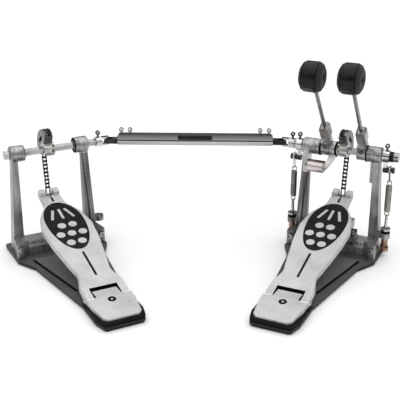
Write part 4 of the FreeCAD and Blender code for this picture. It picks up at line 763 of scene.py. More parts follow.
CAST = Casting("streaked_casting", (0.56, 0.545, 0.535), (0.13, 0.128, 0.127))
# painted shade: the same casting, darkened below the housing on the two posts that stood in shade
SHADE_PAINTED_POST = DulledPost("inner_post_casting", (0.56, 0.545, 0.535), (0.15, 0.148, 0.146))
BRIDGE = Casting("bridge_casting", (0.55, 0.535, 0.525), (0.12, 0.118, 0.117), rough=(0.2, 0.45), metal=0.5)
HUB = Casting("hub_casting", (0.56, 0.545, 0.53), (0.22, 0.215, 0.21), rough=(0.28, 0.5), relief=0.1 * MM,
              streak=(60.0, 60.0, 60.0))
BRACKET = BarredCasting("bracket_casting", (0.66, 0.645, 0.63), (0.28, 0.275, 0.27), rough=(0.25, 0.45),
                        relief=0.1 * MM, streak=(60.0, 60.0, 60.0))
ROD = Casting("rod_steel", (0.36, 0.36, 0.365), grey(0.2), rough=(0.15, 0.3), metal=1.0, grain=900.0,
              relief=0.03 * MM, streak=(90.0, 90.0, 9.0))
AXLE = Casting("ground_steel", (0.52, 0.515, 0.51), (0.2, 0.197, 0.194), rough=(0.08, 0.22), metal=1.0,
               grain=900.0, relief=0.03 * MM, streak=(40.0, 40.0, 40.0))
CHROME = Plating("bright_chrome", (0.78, 0.78, 0.79), (0.45, 0.45, 0.46), rough=(0.06, 0.2))
NICKEL = Plating("grey_nickel", grey(0.42), grey(0.16))
SCREW = Plating("black_nickel", grey(0.16), grey(0.05))
ADJUSTER = TwoTone("adjuster_plating", (0.66, 0.65, 0.64), (0.34, 0.33, 0.32), rough=(0.1, 0.25),
                   relief=0.03 * MM)
ROCKER = TwoTone("rocker_plating", (0.75, 0.75, 0.76), (0.45, 0.45, 0.46), rough=(0.07, 0.2),
                 below=154.5 * MM, low_light=grey(0.02), low_dark=grey(0.008), low_rough=0.3, low_metal=0.0)
BLACKENED = Finish("blackened_steel", (0.06, 0.055, 0.05), (0.012, 0.011, 0.01), rough=(0.2, 0.4), metal=0.8,
                   relief=0.04 * MM)
CHAIN = Finish("chain_black", (0.02, 0.019, 0.019), grey(0.004), rough=(0.25, 0.45), metal=0.3, grain=1500.0)
WIRE = Finish("spring_wire", (0.46, 0.47, 0.43), (0.22, 0.226, 0.21), rough=(0.15, 0.3), metal=0.95,
              grain=1200.0)
BRONZE = Finish("bearing_bronze", (0.16, 0.13, 0.1), (0.06, 0.05, 0.04), grain=1500.0)
# painted light and shade: the tube's colour steps by height as its highlights and shade
TUBE = Banded("drawn_tube", grey(1.0), grey(0.0), rough=(0.25, 0.45), metal=0.9)
RUBBER = Moulding("moulded_rubber", grey(0.008), grey(0.003), rough=(0.5, 0.75), grain=1600.0,
                  relief=0.12 * MM, shine=0.12)
GRIP = Moulding("grip_rubber", grey(0.012), grey(0.005), rough=(0.6, 0.8), grain=2200.0,
                relief=0.1 * MM, shine=0.2)
PLASTIC = Moulding("beater_plastic", (0.007, 0.0068, 0.0068), grey(0.003), rough=(0.22, 0.38),
                   relief=0.06 * MM, shine=0.25)
# painted highlight: the ribs are real, and their lighter colour than the core stands for the light they
# catch
RIB_HIGHLIGHT = Moulding("rib_plastic", (0.03, 0.029, 0.029), grey(0.012), rough=(0.12, 0.25), relief=0.04 * MM,
               shine=0.6)
FELT = Felt("beater_felt", (0.01, 0.0094, 0.009), grey(0.003))
MAIN_NUT = NutPlating("main_nut_plating", SCREW.light, SCREW.dark)
SLAVE_NUT = NutPlating("slave_nut_plating", SCREW.light, SCREW.dark, pedal=Pedal.SLAVE, nut_start=64 * MM)
PEDAL_FINISHES: tuple[tuple[type[Finish], str, str], ...] = (
    (HubbedCasting, "cam_casting", "cam"), (SlottedBoard, "board_satin", "footboard"),
    (TonguedPlate, "heel_satin", "heel_plate"), (Coated, "coated_steel", "base_plate"))
CAD_FINISHES: dict[Finish, tuple[str, ...]] = {
    CAST: ("main_right_post", "slave_left_post", "hoop_clamp_jaw"),
    # these two posts get painted shade below their housings
    SHADE_PAINTED_POST: ("main_left_post", "slave_right_post"),
    BRIDGE: Pedal.nodes("bridge"),
    HUB: Side.nodes("beater_hub"),
    BRACKET: ("mid_bearing_bracket",),
    CHROME: Side.nodes("spring_link") + Pedal.nodes("coupling_yoke"),
    NICKEL: ("drive_tube_screws", "hoop_clamp_screw"),
    ROD: Side.nodes("beater_rod"),
    SCREW: ("left_axle_screws",),
    MAIN_NUT: ("right_axle_screws",),
    SLAVE_NUT: ("slave_axle_screws",),
    AXLE: Side.nodes("axle") + ("slave_axle",) + Pedal.nodes("hinge_pin", "toe_pin", "fasteners"),
    BLACKENED: Pedal.nodes("joint_cross", "drive_rod"),
    CHAIN: Pedal.nodes("chain", "cam_chain"),
    BRONZE: Pedal.nodes("bearings"),
    ADJUSTER: ("spring_adjusters",),
    ROCKER: Side.nodes("spring_rocker"),
    TUBE: ("drive_tube",),
    RUBBER: Pedal.nodes("floor_pad"),
    GRIP: Pedal.nodes("grip_pad"),
    **{kind(f"{pedal.label}_{finish}", pedal=pedal): (f"{pedal.label}_{node}",)
       for pedal in Pedal for kind, finish, node in PEDAL_FINISHES},
}
SOFT_EDGES: dict[str, float] = {
    **dict.fromkeys(Pedal.nodes("left_post", "right_post", "bridge"), 0.9 * MM),
    **dict.fromkeys(Pedal.nodes("heel_plate", "footboard", "cam"), 0.5 * MM),
    **dict.fromkeys(Side.nodes("beater_hub"), 0.6 * MM),
    "hoop_clamp_jaw": 0.8 * MM,
    "mid_bearing_bracket": 0.5 * MM,
}
SOFT_ANGLE = radians(40)
WELD_GAP = 0.01 * MM


def dress_cad() -> None:
    """Give every CAD node its finish and the castings softened edges."""
    for finish, names in CAD_FINISHES.items():
        for name in names:
            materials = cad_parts[name].data.materials
            materials.clear()
            materials.append(finish.material())
            LOG.info("dressed %s with %s", name, finish.name)
    for name, width in SOFT_EDGES.items():
        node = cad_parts[name]
        node.modifiers.new("weld", "WELD").merge_threshold = WELD_GAP
        bevel = node.modifiers.new("soft_edges", "BEVEL")
        bevel.width = width
        bevel.segments = 2
        bevel.limit_method = "ANGLE"
        bevel.angle_limit = SOFT_ANGLE
        bevel.harden_normals = True


def add(name: str, data: bpy.types.ID) -> bpy.types.Object:
    """New object of the scene that shows some data.

    Args:
        name: name of the object.
        data: its mesh, light or camera.

    Returns:
        The object.
    """
    made = bpy.data.objects.new(name, data)
    bpy.context.scene.collection.objects.link(made)
    return made


def bake(name: str, mesh: Mesh, place: Matrix = Matrix()) -> bpy.types.Mesh:
    """Turn a working mesh into mesh data and free it.

    Args:
        name: name of the data.
        mesh: the working mesh.
        place: frame that it is written in.

    Returns:
        The data, in the part's frame.
    """
    data = bpy.data.meshes.new(name)
    mesh.to_mesh(data)
    mesh.free()
    data.transform(place)
    return data


class Maker:
    """Base of the classes that add pieces to the scene."""

    def piece(self, name: str, mesh: Mesh, finish: Finish, slot: str, body: str | None = None,
              place: Matrix = Matrix(), smooth: float = 35.0) -> bpy.types.Object:
        """Turn a mesh into a finished object.

        Args:
            name: name of the piece.
            mesh: its geometry, which is freed.
            finish: its surface finish.
            slot: not used.
            body: body that it moves with, or none to leave it unattached.
            place: frame that the geometry is written in.
            smooth: angle in degrees under which edges are smooth.

        Returns:
            The new object.
        """
        bmesh.ops.recalc_face_normals(mesh, faces=mesh.faces)
        data = bake(name, mesh, place)
        data.shade_smooth()
        data.set_sharp_from_angle(angle=radians(smooth))
        data.materials.append(finish.material())
        made = add(name, data)
        if body:
            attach(made, body)
        LOG.info("built %s", name)
        return made


def millimetres(points: Sequence[Sequence[float]]) -> list[tuple[float, ...]]:
    """Points in metres from points in millimetres."""
    return [tuple(number * MM for number in point) for point in points]


def circle(radius: float, steps: int) -> list[Point2]:
    """Points round a circle about the origin."""
    turns = [2 * pi * step / steps for step in range(steps)]
    return [(radius * cos(turn), radius * sin(turn)) for turn in turns]


def skin(mesh: Mesh, rings: Sequence[Sequence[bmesh.types.BMVert]]) -> Mesh:
    """Cover rings of one count of points and close both ends.

    Args:
        mesh: mesh that holds the points.
        rings: points of each ring, in order.

    Returns:
        The closed mesh.
    """
    for first, second in zip(rings, rings[1:]):
        for index in range(len(first)):
            after = (index + 1) % len(first)
            mesh.faces.new((first[index], first[after], second[after], second[index]))
    mesh.faces.new(rings[0])
    mesh.faces.new(rings[-1])
    return mesh


def lathe(profile: Sequence[Point2], steps: int) -> Mesh:
    """Solid of revolution about the x axis.

    Args:
        profile: points (x, radius) from one end to the other; it closes with end radii of zero or on itself.
        steps: number of sides.

    Returns:
        The mesh.
    """
    mesh = bmesh.new()
    rings = []
    for x, radius in profile:
        points = circle(radius, steps) if radius else [(0, 0)]
        rings.append([mesh.verts.new((x, y, z)) for y, z in points])
    for first, second in zip(rings, rings[1:]):
        for step in range(steps):
            after = (step + 1) % steps
            corners = [first[step % len(first)], first[after % len(first)],
                       second[after % len(second)], second[step % len(second)]]
            mesh.faces.new(list(dict.fromkeys(corners)))
    bmesh.ops.remove_doubles(mesh, verts=mesh.verts, dist=1e-4 * MM)
    return mesh


def tube(path: Sequence[Vector], radius: float, sides: int = 10) -> Mesh:
    """Closed round tube along a path.

    Args:
        path: points of the centreline.
        radius: radius of the tube.
        sides: number of sides.

    Returns:
        The mesh.
    """
    mesh = bmesh.new()
    rings = []
    across = (path[1] - path[0]).orthogonal().normalized()
    for index, point in enumerate(path):
        way = (path[min(index + 1, len(path) - 1)] - path[max(index - 1, 0)]).normalized()
        across = (across - way * across.dot(way)).normalized()
        other = way.cross(across)
        rings.append([mesh.verts.new(point + across * x + other * y) for x, y in circle(radius, sides)])
    return skin(mesh, rings)


def slab(outline: Sequence[Point2], levels: Sequence[Point2]) -> Mesh:
    """Stack of rings of one outline, each drawn in by an inset.

    Args:
        outline: corners of a closed outline.
        levels: (height, inset) of each ring, from bottom to top.

    Returns:
        The closed mesh.
    """
    mesh = bmesh.new()
    corners = [Vector(point) for point in outline]
    following = corners[1:] + corners[:1]
    area = sum(corner.x * after.y - after.x * corner.y for corner, after in zip(corners, following))
    turn = 1.0 if area > 0 else -1.0
    sharpest = 0.3
    inward = []
    for index, (corner, after) in enumerate(zip(corners, following)):
        into = (corner - corners[index - 1]).normalized()
        out = (after - corner).normalized()
        normal = Vector((-into.y - out.y, into.x + out.x)) * turn
        inward.append(normal / max(sharpest, 1 + into.dot(out)))
    rings = [[mesh.verts.new((*(corner + shift * inset), height)) for corner, shift in zip(corners, inward)]
             for height, inset in levels]
    return skin(mesh, rings)


def rounded(corners: Sequence[Corner], steps: int = 6) -> list[Point2]:
    """Outline with rounded corners.

    Args:
        corners: (x, y, radius) of each corner.
        steps: segments of each rounding.

    Returns:
        The points of the outline.
    """
    points: list[Point2] = []
    count = len(corners)
    for index, (x, y, radius) in enumerate(corners):
        corner = Vector((x, y))
        before = (Vector(corners[index - 1][:2]) - corner).normalized()
        after = (Vector(corners[(index + 1) % count][:2]) - corner).normalized()
        half = acos(max(-1.0, min(1.0, before.dot(after)))) / 2
        reach = radius / tan(half)
        middle = corner + (before + after).normalized() * (radius / sin(half))
        first = corner + before * reach - middle
        last = corner + after * reach - middle
        for step in range(steps + 1):
            points.append(tuple(middle + first.lerp(last, step / steps).normalized() * radius))
    return points


def rounded_box(low: Point2, high: Point2, radius: float) -> list[Point2]:
    """Rounded outline of a rectangle between two corners."""
    ends = (low, (high[0], low[1]), high, (low[0], high[1]))
    return rounded([(x, y, radius) for x, y in ends])


def merge(target: Mesh, other: Mesh, place: Matrix = Matrix()) -> Mesh:
    """Add one mesh to another and free it.

    Args:
        target: mesh that grows.
        other: mesh that is added.
        place: frame of the added mesh.

    Returns:
        The grown mesh.
    """
    data = bake("merge", other, place)
    target.from_mesh(data)
    bpy.data.meshes.remove(data)
    return target


UPRIGHT = turned(-pi / 2, "Y")


@dataclass
class ReturnSpring(Maker):
    """Close-wound return spring that hangs between its adjuster and its rocker."""

    side: Side
    coil_radius: float = 4.4 * MM
    wire_radius: float = 0.8 * MM
    bottom: float = 80 * MM
    top: float = 124 * MM
    lead: float = 5 * MM
    turns: int = 26
    turn_steps: int = 20
    eye_radius: float = 3.6 * MM
    eye_sweep: float = radians(240)
    eye_steps: int = 24
    bend_pull: float = 0.45
    bend_steps: int = 9

    def eye(self, upper: bool) -> list[Vector]:
        """Points of one end eye.

        Args:
            upper: whether it is the upper eye.

        Returns:
            The points, in the order that the wire runs upwards.
        """
        way = 1 if upper else -1
        level = self.top + self.lead if upper else self.bottom - self.lead
        points = []
        for step in range(self.eye_steps + 1):
            turn = self.eye_sweep * step / self.eye_steps
            points.append(Vector((way * self.eye_radius * cos(turn), 0,
                                  level + way * self.eye_radius * sin(turn))))
        return points[::way]

    def path(self) -> list[Vector]:
        """Centreline of the whole wire in the spring's own frame."""
        coil = []
        total = self.turns * self.turn_steps
        for step in range(total + 1):
            turn = 2 * pi * step / self.turn_steps - pi / 2
            level = self.bottom + (self.top - self.bottom) * step / total
            coil.append(Vector((self.coil_radius * cos(turn), self.coil_radius * sin(turn), level)))
        return self.join(self.join(self.eye(False), coil), self.eye(True))

    def join(self, first: list[Vector], second: list[Vector]) -> list[Vector]:
        """Join two runs of wire by a smooth bend.

        Args:
            first: points of the lower run.
            second: points of the upper run.

        Returns:
            The points of the whole.
        """
        start, end = first[-1], second[0]
        pull = (end - start).length * self.bend_pull
        out = start + (first[-1] - first[-2]).normalized() * pull
        back = end - (second[1] - second[0]).normalized() * pull
        bend = []
        for step in range(1, self.bend_steps):
            t = step / self.bend_steps
            ends = start * (1 - t) ** 3 + end * t ** 3
            bend.append(ends + out * 3 * t * (1 - t) ** 2 + back * 3 * t * t * (1 - t))
        return first + bend + second

    def build(self) -> None:
        """Make the spring in its rest place."""
        place = Pedal.MAIN.place @ moved(self.side.value * LAYOUT.spring_side, 0, 0)
        name = f"{self.side.label}_spring"
        wire = tube(self.path(), self.wire_radius)
        made = self.piece(f"{name}_coil", wire, WIRE, "spring_steel", place=place, smooth=60.0)
        place @ Vector((0, 0, self.bottom - self.lead))
        place @ Vector((0, 0, self.top + self.lead))
        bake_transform(made)
        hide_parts(name)


@dataclass
class BeaterHead(Maker):
    """Two-sided beater head: hard core with parting ribs, and a felt face on each end."""

    side: Side
    right_reach: float = 169.5 * MM
    left_reach: float = 165 * MM
    lean: float = radians(37.3)
    ahead: float = 10.5 * MM
    radius: float = 23.2 * MM
    core_half: float = 11 * MM
    core_soft: float = 1.1 * MM
    collar_gap: float = 2 * MM
    half_width: float = 17.5 * MM
    face_radius: float = 15 * MM
    felt_seat: float = 0.15 * MM
    rib_sunk: float = 0.4 * MM
    rib_proud: float = 0.5 * MM
    level_span: Point2 = (-9.5 * MM, 5 * MM)
    level_sweep: Point2 = (-0.0084483, 0.0715517)
    upright_span: Point2 = (5 * MM, 6.6 * MM)
    upright_sweep: Point2 = (-0.95, 0.02)
    sides: int = 72

    def place(self) -> Matrix:
        """Frame at the head's middle: x along the axle, z along the rod."""
        reach = self.right_reach if self.side is Side.RIGHT else self.left_reach
        tilt = turned(self.lean, "X") @ moved(0, self.ahead, reach)
        return Pedal.MAIN.axle @ moved(self.side.hub_offset, 0, 0) @ tilt

    def core(self) -> Mesh:
        """Drum of the core with softened rims and its rod collar."""
        soft = self.core_soft
        rim = ((0.0, 2.0), (0.5, 0.6), (1.6, 0.0))
        half = [(self.core_half - back * soft, self.radius - down * soft) for back, down in rim]
        near = [(-self.core_half, 0.0)] + [(-x, radius) for x, radius in half]
        mesh = lathe(near + half[::-1] + [(self.core_half, 0.0)], self.sides)
        collar = lathe(millimetres(((0, 0), (0, 5.4), (0.8, 6.2), (3.5, 6.2), (3.5, 0))), steps=32)
        return merge(mesh, collar, moved(0, 0, -self.radius - self.collar_gap) @ UPRIGHT)

    def ribs(self) -> Mesh:
        """Level and upright parting rib of the core."""
        level = self.rib(self.level_span, self.level_sweep, steps=3)
        return merge(level, self.rib(self.upright_span, self.upright_sweep, steps=14))

    def rib(self, span: Point2, sweep: Point2, steps: int) -> Mesh:
        """Thin raised rib on the player's side of the core.

        Args:
            span: its two ends along the axle.
            sweep: its two ends round the drum, in radians up from level.
            steps: segments round the drum.

        Returns:
            The rib's mesh.
        """
        mesh = bmesh.new()
        (start, end), (low, high) = span, sweep
        bottom, top = self.radius - self.rib_sunk, self.radius + self.rib_proud
        section = ((start, bottom), (start, top), (end, top), (end, bottom))
        rings = []
        for step in range(steps + 1):
            turn = low + (high - low) * step / steps
            way = Vector((0, -cos(turn), sin(turn)))
            rings.append([mesh.verts.new(Vector((x, 0, 0)) + way * out) for x, out in section])
        return skin(mesh, rings)

    def face(self) -> Mesh:
        """Felt face on the +x end: a bevelled pad with a dished ring and a middle hole."""
        base, end = self.core_half + self.felt_seat, self.half_width
        flank = ((0, 2.2), (0.8, 1.6), (2.6, 2.4))
        crown = ((1.6, 2.2), (0.5, 0.6), (0, -1))
        dish = ((0, 9.5), (0.8, 8.4), (1, 5.6), (2.6, 4.6), (3, 0))
        profile = [(base, 0.0)]
        profile += [(base + rise, self.radius - inset) for rise, inset in millimetres(flank)]
        profile += [(end - drop, self.face_radius + out) for drop, out in millimetres(crown)]
        profile += [(end - drop, radius) for drop, radius in millimetres(dish)]
        return lathe(profile, self.sides)

    def build(self) -> None:
        """Make the head's pieces and let them turn with it."""
        name = f"{self.side.label}_beater"
        slot, body, place = "beater_black", f"{name}_head", self.place()
        core = self.piece(f"{name}_core", self.core(), PLASTIC, slot, body, place)
        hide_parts(f"{name}_head")
        self.piece(f"{name}_ribs", self.ribs(), RIB_HIGHLIGHT, slot, body, place)
        for turn, end in ((0.0, "outer"), (pi, "inner")):
            pad = self.piece(f"{name}_felt_{end}", self.face(), FELT, slot, body, place @ turned(turn, "Z"))


@dataclass
class Sole(Maker):
    """Rubber floor mat and heel cushion under one pedal; outlines and levels are in millimetres."""

    pedal: Pedal
    mat_half: tuple[Corner, ...] = (
        (75.5, 29.5, 4.5), (75.5, -41.5, 4.5), (57.5, -78, 4.5), (35, -228, 4.5), (35.5, -283, 4.5),
        (29.5, -305.5, 4.5))
    mat_levels: tuple[Point2, ...] = ((0, 0.6), (0.6, 0), (2.4, 0), (2.95, 0.5))
    heel_half: tuple[Corner, ...] = ((37, -247, 2), (37, -283, 6), (31, -307, 6))
    heel_levels: tuple[Point2, ...] = (
        (7.05, 0.4), (7.4, 0), (8.6, 0), (8.9, 0.7), (9.5, 0.7), (9.8, 0), (12.3, 0), (12.9, 0.5))

    @staticmethod
    def pad(half: Sequence[Corner], levels: Sequence[Point2]) -> Mesh:
        """Pad from the right half of its outline and the levels of its rings."""
        whole = list(half) + [(-x, y, radius) for x, y, radius in reversed(half)]
        return slab(rounded(millimetres(whole)), millimetres(levels))

    def build(self) -> None:
        """Make the mat with a rounded rim and the cushion with a groove round it."""
        label, place = self.pedal.label, self.pedal.place
        floor = self.pad(self.mat_half, self.mat_levels)
        mat = self.piece(f"{label}_floor_mat", floor, RUBBER, "rubber", f"{label}_frame", place)
        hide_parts(f"{label}_floor_pad")
        heel = self.pad(self.heel_half, self.heel_levels)
        self.piece(f"{label}_heel_cushion", heel, RUBBER, "rubber", f"{label}_frame", place)


@dataclass
class GripInlay(Maker):
    """Rubber inlay of a footboard with softened rims, and the black lines sunk in the board."""

    pedal: Pedal
    rim: float = 0.35 * MM
    sharp: float = radians(50)
    flat: float = radians(1)
    board_top: float = 6.5 * MM
    line_half: float = 1.9 * MM
    lines: tuple[Point2, ...] = ((38.4 * MM, 96.6 * MM), (234.4 * MM, 246.6 * MM))
    line_levels: tuple[Point2, ...] = ((-0.75, 0.8), (0.04, 0.8), (0.04, 0), (0.1, 0), (0.16, 0.2))
    line_soft: float = 1 * MM
    dot: float = 250.4 * MM
    dot_radius: float = 2 * MM

    def softened(self) -> Mesh:
        """The inlay's solid with a small round on every sharp rim."""
        mesh = bmesh.new()
        mesh.from_mesh(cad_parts[f"{self.pedal.label}_grip_pad"].data)
        bmesh.ops.remove_doubles(mesh, verts=mesh.verts, dist=1e-3 * MM)
        bmesh.ops.dissolve_limit(mesh, angle_limit=self.flat, verts=mesh.verts, edges=mesh.edges)
        inner = [edge for edge in mesh.edges if len(edge.link_faces) == 2]
        rims = [edge for edge in inner if edge.calc_face_angle() > self.sharp]
        bmesh.ops.bevel(mesh, geom=rims, offset=self.rim, segments=2, profile=0.6, affect="EDGES",
                        clamp_overlap=True)
        return mesh

    def inlays(self) -> Mesh:
        """Black bars that fill the board's two grooves, and a round dot."""
        mesh = bmesh.new()
        half = self.line_half
        levels = [(self.board_top + rise, inset) for rise, inset in millimetres(self.line_levels)]
        for start, end in self.lines:
            merge(mesh, slab(rounded_box((-half, start), (half, end), self.line_soft), levels))
        dot = [(x, self.dot + y) for x, y in circle(self.dot_radius, 24)]
        return merge(mesh, slab(dot, levels))

    def build(self) -> None:
        """Make both pieces and let them move with the footboard."""
        label, body = self.pedal.label, f"{self.pedal.label}_footboard"
        pad = self.piece(f"{label}_grip_rubber", self.softened(), GRIP, "grip", body)
        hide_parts(f"{label}_grip_pad")
        self.piece(f"{label}_board_lines", self.inlays(), GRIP, "grip", body, self.pedal.board)


@dataclass
class DriveLabel(Maker):
    """Bare black plate on the player's side of the drive tube."""

    offset: Vector = field(default_factory=lambda: Vector((0, -6.45, 7.6)) * MM)
    half_length: float = 28.5 * MM
    half_height: float = 3.7 * MM
    corner: float = 1 * MM
    shoulder: float = 0.3 * MM
    thickness: float = 0.5 * MM
    soft: float = 0.25 * MM

    def build(self) -> None:
        """Make the plate and let it turn with the tube."""
        high = (self.half_length, self.half_height)
        outline = rounded_box((-self.half_length, -self.half_height), high, self.corner)
        mesh = slab(outline, [(0, 0), (self.shoulder, 0), (self.thickness, self.soft)])
        place = moved(*(LAYOUT.shaft_middle + self.offset)) @ turned(pi / 2, "X")
        self.piece("drive_label", mesh, PLASTIC, "black_steel", "drive_tube", place)


@dataclass
class AdjusterRings(Maker):
    """Black rubber ring between each flanged nut and its spring boss; the profile is in millimetres."""

    level: float = 42.1 * MM
    profile: tuple[Point2, ...] = (
        (0, 5.2), (0, 6.9), (0.7, 7.6), (2.2, 7.6), (2.9, 6.9), (2.9, 5.2), (0, 5.2))

    def build(self) -> None:
        """Make one ring on each side."""
        for side in Side:
            place = Pedal.MAIN.place @ moved(side.value * LAYOUT.spring_side, 0, self.level) @ UPRIGHT
            ring = lathe(millimetres(self.profile), steps=40)
            self.piece(f"{side.label}_adjuster_ring", ring, RUBBER, "rubber", "main_frame", place)


@dataclass
class HeelRing(Maker):
    """Black rubber ring and bright dome on the screw of a heel plate.

    Edges are heights and steps outwards in millimetres; the crown has heights and shares of the radius.
    """

    pedal: Pedal
    middle: Vector = field(default_factory=lambda: Vector((0, -257, 21.72)) * MM)
    slope: float = radians(6.9)
    inner: float = 2 * MM
    outer: float = 6.2 * MM
    rim_edge: tuple[Point2, ...] = ((-0.35, 0), (0.2, 0), (0.4, -0.4))
    bore_edge: tuple[Point2, ...] = ((0.4, 0.6), (0.1, 0), (-0.35, 0.3))
    crown: tuple[Point2, ...] = ((-0.35, 0), (-0.35, 1), (0.15, 0.97), (0.6, 0.8), (0.85, 0.5), (0.95, 0))

    def ring(self) -> Mesh:
        """Flat ring with softened rims."""
        rim = [(rise, self.outer + out) for rise, out in millimetres(self.rim_edge)]
        bore = [(rise, self.inner + out) for rise, out in millimetres(self.bore_edge)]
        return lathe(bore[-1:] + rim + bore, steps=40)

    def dome(self) -> Mesh:
        """Low dome inside the ring."""
        return lathe([(rise * MM, self.inner * share) for rise, share in self.crown], steps=32)

    def build(self) -> None:
        """Make both pieces and let them stay with the frame."""
        label = self.pedal.label
        place = self.pedal.place @ moved(*self.middle) @ turned(self.slope, "X") @ UPRIGHT
        self.piece(f"{label}_heel_ring", self.ring(), RUBBER, "rubber", f"{label}_frame", place)
        self.piece(f"{label}_heel_dome", self.dome(), CHROME, "chrome", f"{label}_frame", place)


@dataclass
class PanelSeams(Maker):
    """Black strips of painted shade along the grooves of the raised panel of a base plate."""

    pedal: Pedal
    front: Point2 = (53.8 * MM, -54 * MM)
    back: Point2 = (27.8 * MM, -186 * MM)
    half_width: float = 1.5 * MM
    corner: float = 1.2 * MM
    bottom: float = 7.05 * MM
    shoulder: float = 7.83 * MM
    top: float = 8.35 * MM
    soft: float = 0.35 * MM

    def build(self) -> None:
        """Make the two strips of painted groove shade and let them stay with the frame."""
        mesh = bmesh.new()
        first, last = Vector(self.front), Vector(self.back)
        side = (last - first).orthogonal().normalized() * self.half_width
        corners = (first + side, last + side, last - side, first - side)
        levels = [(self.bottom, 0), (self.shoulder, 0), (self.top, self.soft)]
        for sign in (1, -1):
            merge(mesh, slab(rounded([(sign * x, y, self.corner) for x, y in corners]), levels))
        label = self.pedal.label
        # painted shade: black strips where the panel's grooves lie in shadow
        self.piece(f"{label}_panel_seams", mesh, RUBBER, "rubber", f"{label}_frame", self.pedal.place)


@dataclass
class AxleCollar(Maker):
    """Grooved black collar between the right rocker and the axle's end cap."""

    start: float = 77.9 * MM
    end: float = 83.6 * MM
    radius: float = 8.4 * MM
    grooves: int = 3
    groove_depth: float = 0.7 * MM

    def build(self) -> None:
        """Make the collar and let it turn with the axle."""
        step = (self.end - self.start) / self.grooves
        ridge = ((0, self.groove_depth), (0.2, 0), (0.8, 0), (1, self.groove_depth))
        profile = [(self.start, 0.0)]
        for index in range(self.grooves):
            profile += [(self.start + (index + share) * step, self.radius - drop) for share, drop in ridge]
        mesh = lathe(profile + [(self.end, 0.0)], steps=48)
        self.piece("axle_collar", mesh, BLACKENED, "black_steel", "right_axle", Pedal.MAIN.axle)


@dataclass
class BearingSeals(Maker):
    """Black rubber seals on the faces of the bearings.

    Each face has a name, a pedal, its place along the axle, the way that it looks and the seal's radius.
    """

    bore: float = 6.9 * MM
    proud: float = 0.2 * MM
    depth: float = 2.4 * MM
    soft: float = 0.3 * MM
    faces: tuple[tuple[str, Pedal, float, int, float], ...] = (
        ("left", Pedal.MAIN, -34 * MM, 1, 13.3 * MM), ("right", Pedal.MAIN, 40.5 * MM, -1, 13.3 * MM),
        ("middle", Pedal.MAIN, -8 * MM, 1, 12.8 * MM), ("near", Pedal.SLAVE, 42 * MM, -1, 12.4 * MM),
        ("far", Pedal.SLAVE, -42 * MM, 1, 12.4 * MM))

    def build(self) -> None:
        """Make every seal and let it stay with its frame."""
        for name, pedal, face, way, radius in self.faces:
            inner, outer = face - way * self.depth, face + way * self.proud
            seal = lathe([(inner, self.bore), (inner, radius - self.soft), (inner + way * self.soft, radius),
                          (outer - way * self.soft, radius), (outer, radius - self.soft), (outer, self.bore),
                          (inner, self.bore)], steps=48)
            label = pedal.label
            self.piece(f"{label}_{name}_seal", seal, RUBBER, "rubber", f"{label}_frame", pedal.axle)


@dataclass
class HubScrew(Maker):
    """Black socket screw on the player's side of a hub."""

    name: str
    body: str
    pedal: Pedal
    offset: float
    hub_radius: float = 12 * MM
    radius: float = 2.9 * MM
    rise: float = radians(20)
    sunk: float = -1.2 * MM
    shoulder: float = 0.35 * MM
    top: float = 0.6 * MM
    chamfer: float = 0.85
    socket_share: float = 0.5
    socket_end: float = -0.5 * MM
    socket_taper: float = 0.9
    socket_tip: float = -0.8 * MM

    def head(self) -> Mesh:
        """Head with a softened rim and a round socket."""
        socket = self.radius * self.socket_share
        return lathe([(self.sunk, 0), (self.sunk, self.radius), (self.shoulder, self.radius),
                      (self.top, self.radius * self.chamfer), (self.top, socket),
                      (self.socket_end, socket * self.socket_taper), (self.socket_tip, 0)], steps=36)

    def build(self) -> None:
        """Make the screw's head and let it turn with the axle."""
        out = turned(-self.rise, "X") @ turned(-pi / 2, "Z")
        place = self.pedal.axle @ moved(self.offset, 0, 0) @ out
        seat = place @ moved(self.hub_radius, 0, 0)
        self.piece(f"{self.name}_screw", self.head(), CHAIN, "black_steel", self.body, seat)


@dataclass(frozen=True)
class SoftLight:
    """Square soft light: where it hangs, the length of its side and its watts."""

    name: str
    place: Point3
    size: float
    power: float

    def hang(self, target: Sequence[float]) -> None:
        """Hang the light.

        Args:
            target: point that it faces.
        """
        lamp = bpy.data.lights.new(self.name, "AREA")
        lamp.size = self.size
        lamp.energy = self.power
        made = add(self.name, lamp)
        made.location = self.place
        made.rotation_euler = (Vector(target) - Vector(self.place)).to_track_quat("-Z", "Y").to_euler()


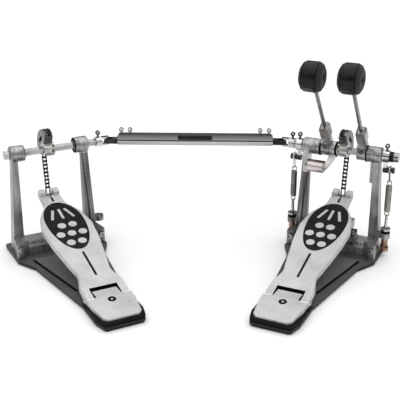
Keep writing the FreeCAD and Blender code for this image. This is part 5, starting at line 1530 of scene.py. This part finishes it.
@dataclass
class Studio:
    """Pale floor, soft lights and the camera at the photograph's angle."""

    camera_place: Vector = field(default_factory=lambda: Vector((-194.6, -1326.4, 613.8)) * MM)
    pitch: float = radians(21.81)
    heading: float = radians(1.51)
    lens: float = 77.7
    sensor: float = 36.0
    floor_half: float = 60.0
    floor_place: Point3 = (-0.2, 0.0, -0.2 * MM)
    floor_glow: float = 0.13
    brightness: float = 1.2
    ceiling: tuple[Point2, ...] = ((0.0, 0.03), (0.36, 0.06), (0.62, 0.85), (1.0, 1.0))
    overhead_power: float = 0.5
    overhead_spread: float = radians(80)
    target: Point3 = (-0.22, -0.05, 0.12)
    lights: tuple[SoftLight, ...] = (SoftLight("left_soft", (-1.7, -1.1, 1.1), 1.0, 2.0),
                                     SoftLight("right_soft", (1.3, -0.9, 1.0), 0.9, 1.5))

    def floor(self) -> None:
        """Lay a large pale floor."""
        mesh = bmesh.new()
        bmesh.ops.create_grid(mesh, x_segments=1, y_segments=1, size=self.floor_half)
        data = bake("floor", mesh)
        graph = Graph.surface("pale_floor")
        grain = graph.noise(scale=9.0, detail=2.0)
        graph.set(Base_Color=graph.mix(grain, grey(0.9), grey(0.93)), Roughness=0.95, Specular_IOR_Level=0.1)
        graph.set(Emission_Color=grey(1.0), Emission_Strength=self.floor_glow)
        data.materials.append(graph.owner)
        floor = add("floor", data)
        floor.location = self.floor_place

    def overhead(self) -> None:
        """Hang one very wide light straight above."""
        lamp = bpy.data.lights.new("overhead", "SUN")
        lamp.energy = self.overhead_power
        lamp.angle = self.overhead_spread
        add("overhead", lamp)

    def sky(self) -> None:
        """Dark surround with a wide pale ceiling."""
        world = bpy.data.worlds.new("surround")
        bpy.context.scene.world = world
        graph = Graph(world, "ShaderNodeBackground", "ShaderNodeOutputWorld")
        rise = graph.part(graph.node("ShaderNodeTexCoord", output="Generated"), "Z")
        graph.set(Color=graph.ramp(rise, *self.ceiling), Strength=self.brightness)

    def camera(self) -> None:
        """Set the camera."""
        data = bpy.data.cameras.new("camera")
        data.lens = self.lens
        data.sensor_width = self.sensor
        made = add("camera", data)
        made.location = self.camera_place
        made.rotation_euler = (pi / 2 - self.pitch, 0, self.heading)
        bpy.context.scene.camera = made

    def build(self) -> None:
        """Set up the whole studio."""
        bpy.context.scene.view_settings.view_transform = "Standard"
        self.camera()
        self.floor()
        self.sky()
        self.overhead()
        for light in self.lights:
            light.hang(self.target)


def cam_screw(pedal: Pedal, body: str) -> HubScrew:
    """Screw in the hub of a pedal's cam, which turns with an axle body."""
    return HubScrew(f"{pedal.label}_cam", body, pedal, offset=-5 * MM * pedal.value, hub_radius=11 * MM,
                    radius=2.2 * MM, rise=radians(42))


def main() -> None:
    """Dress the frame and build every piece."""
    logging.basicConfig(level=logging.INFO, format="%(message)s")
    dress_cad()
    Studio().build()
    for side in Side:
        ReturnSpring(side).build()
        BeaterHead(side).build()
        HubScrew(f"{side.label}_hub", f"{side.label}_axle", Pedal.MAIN, side.hub_offset).build()
    for pedal in Pedal:
        Sole(pedal).build()
        GripInlay(pedal).build()
        HeelRing(pedal).build()
        PanelSeams(pedal).build()
    cam_screw(Pedal.MAIN, "right_axle").build()
    cam_screw(Pedal.SLAVE, "slave_axle").build()
    DriveLabel().build()
    AdjusterRings().build()
    AxleCollar().build()
    BearingSeals().build()


if __name__ == "__main__":
    main()
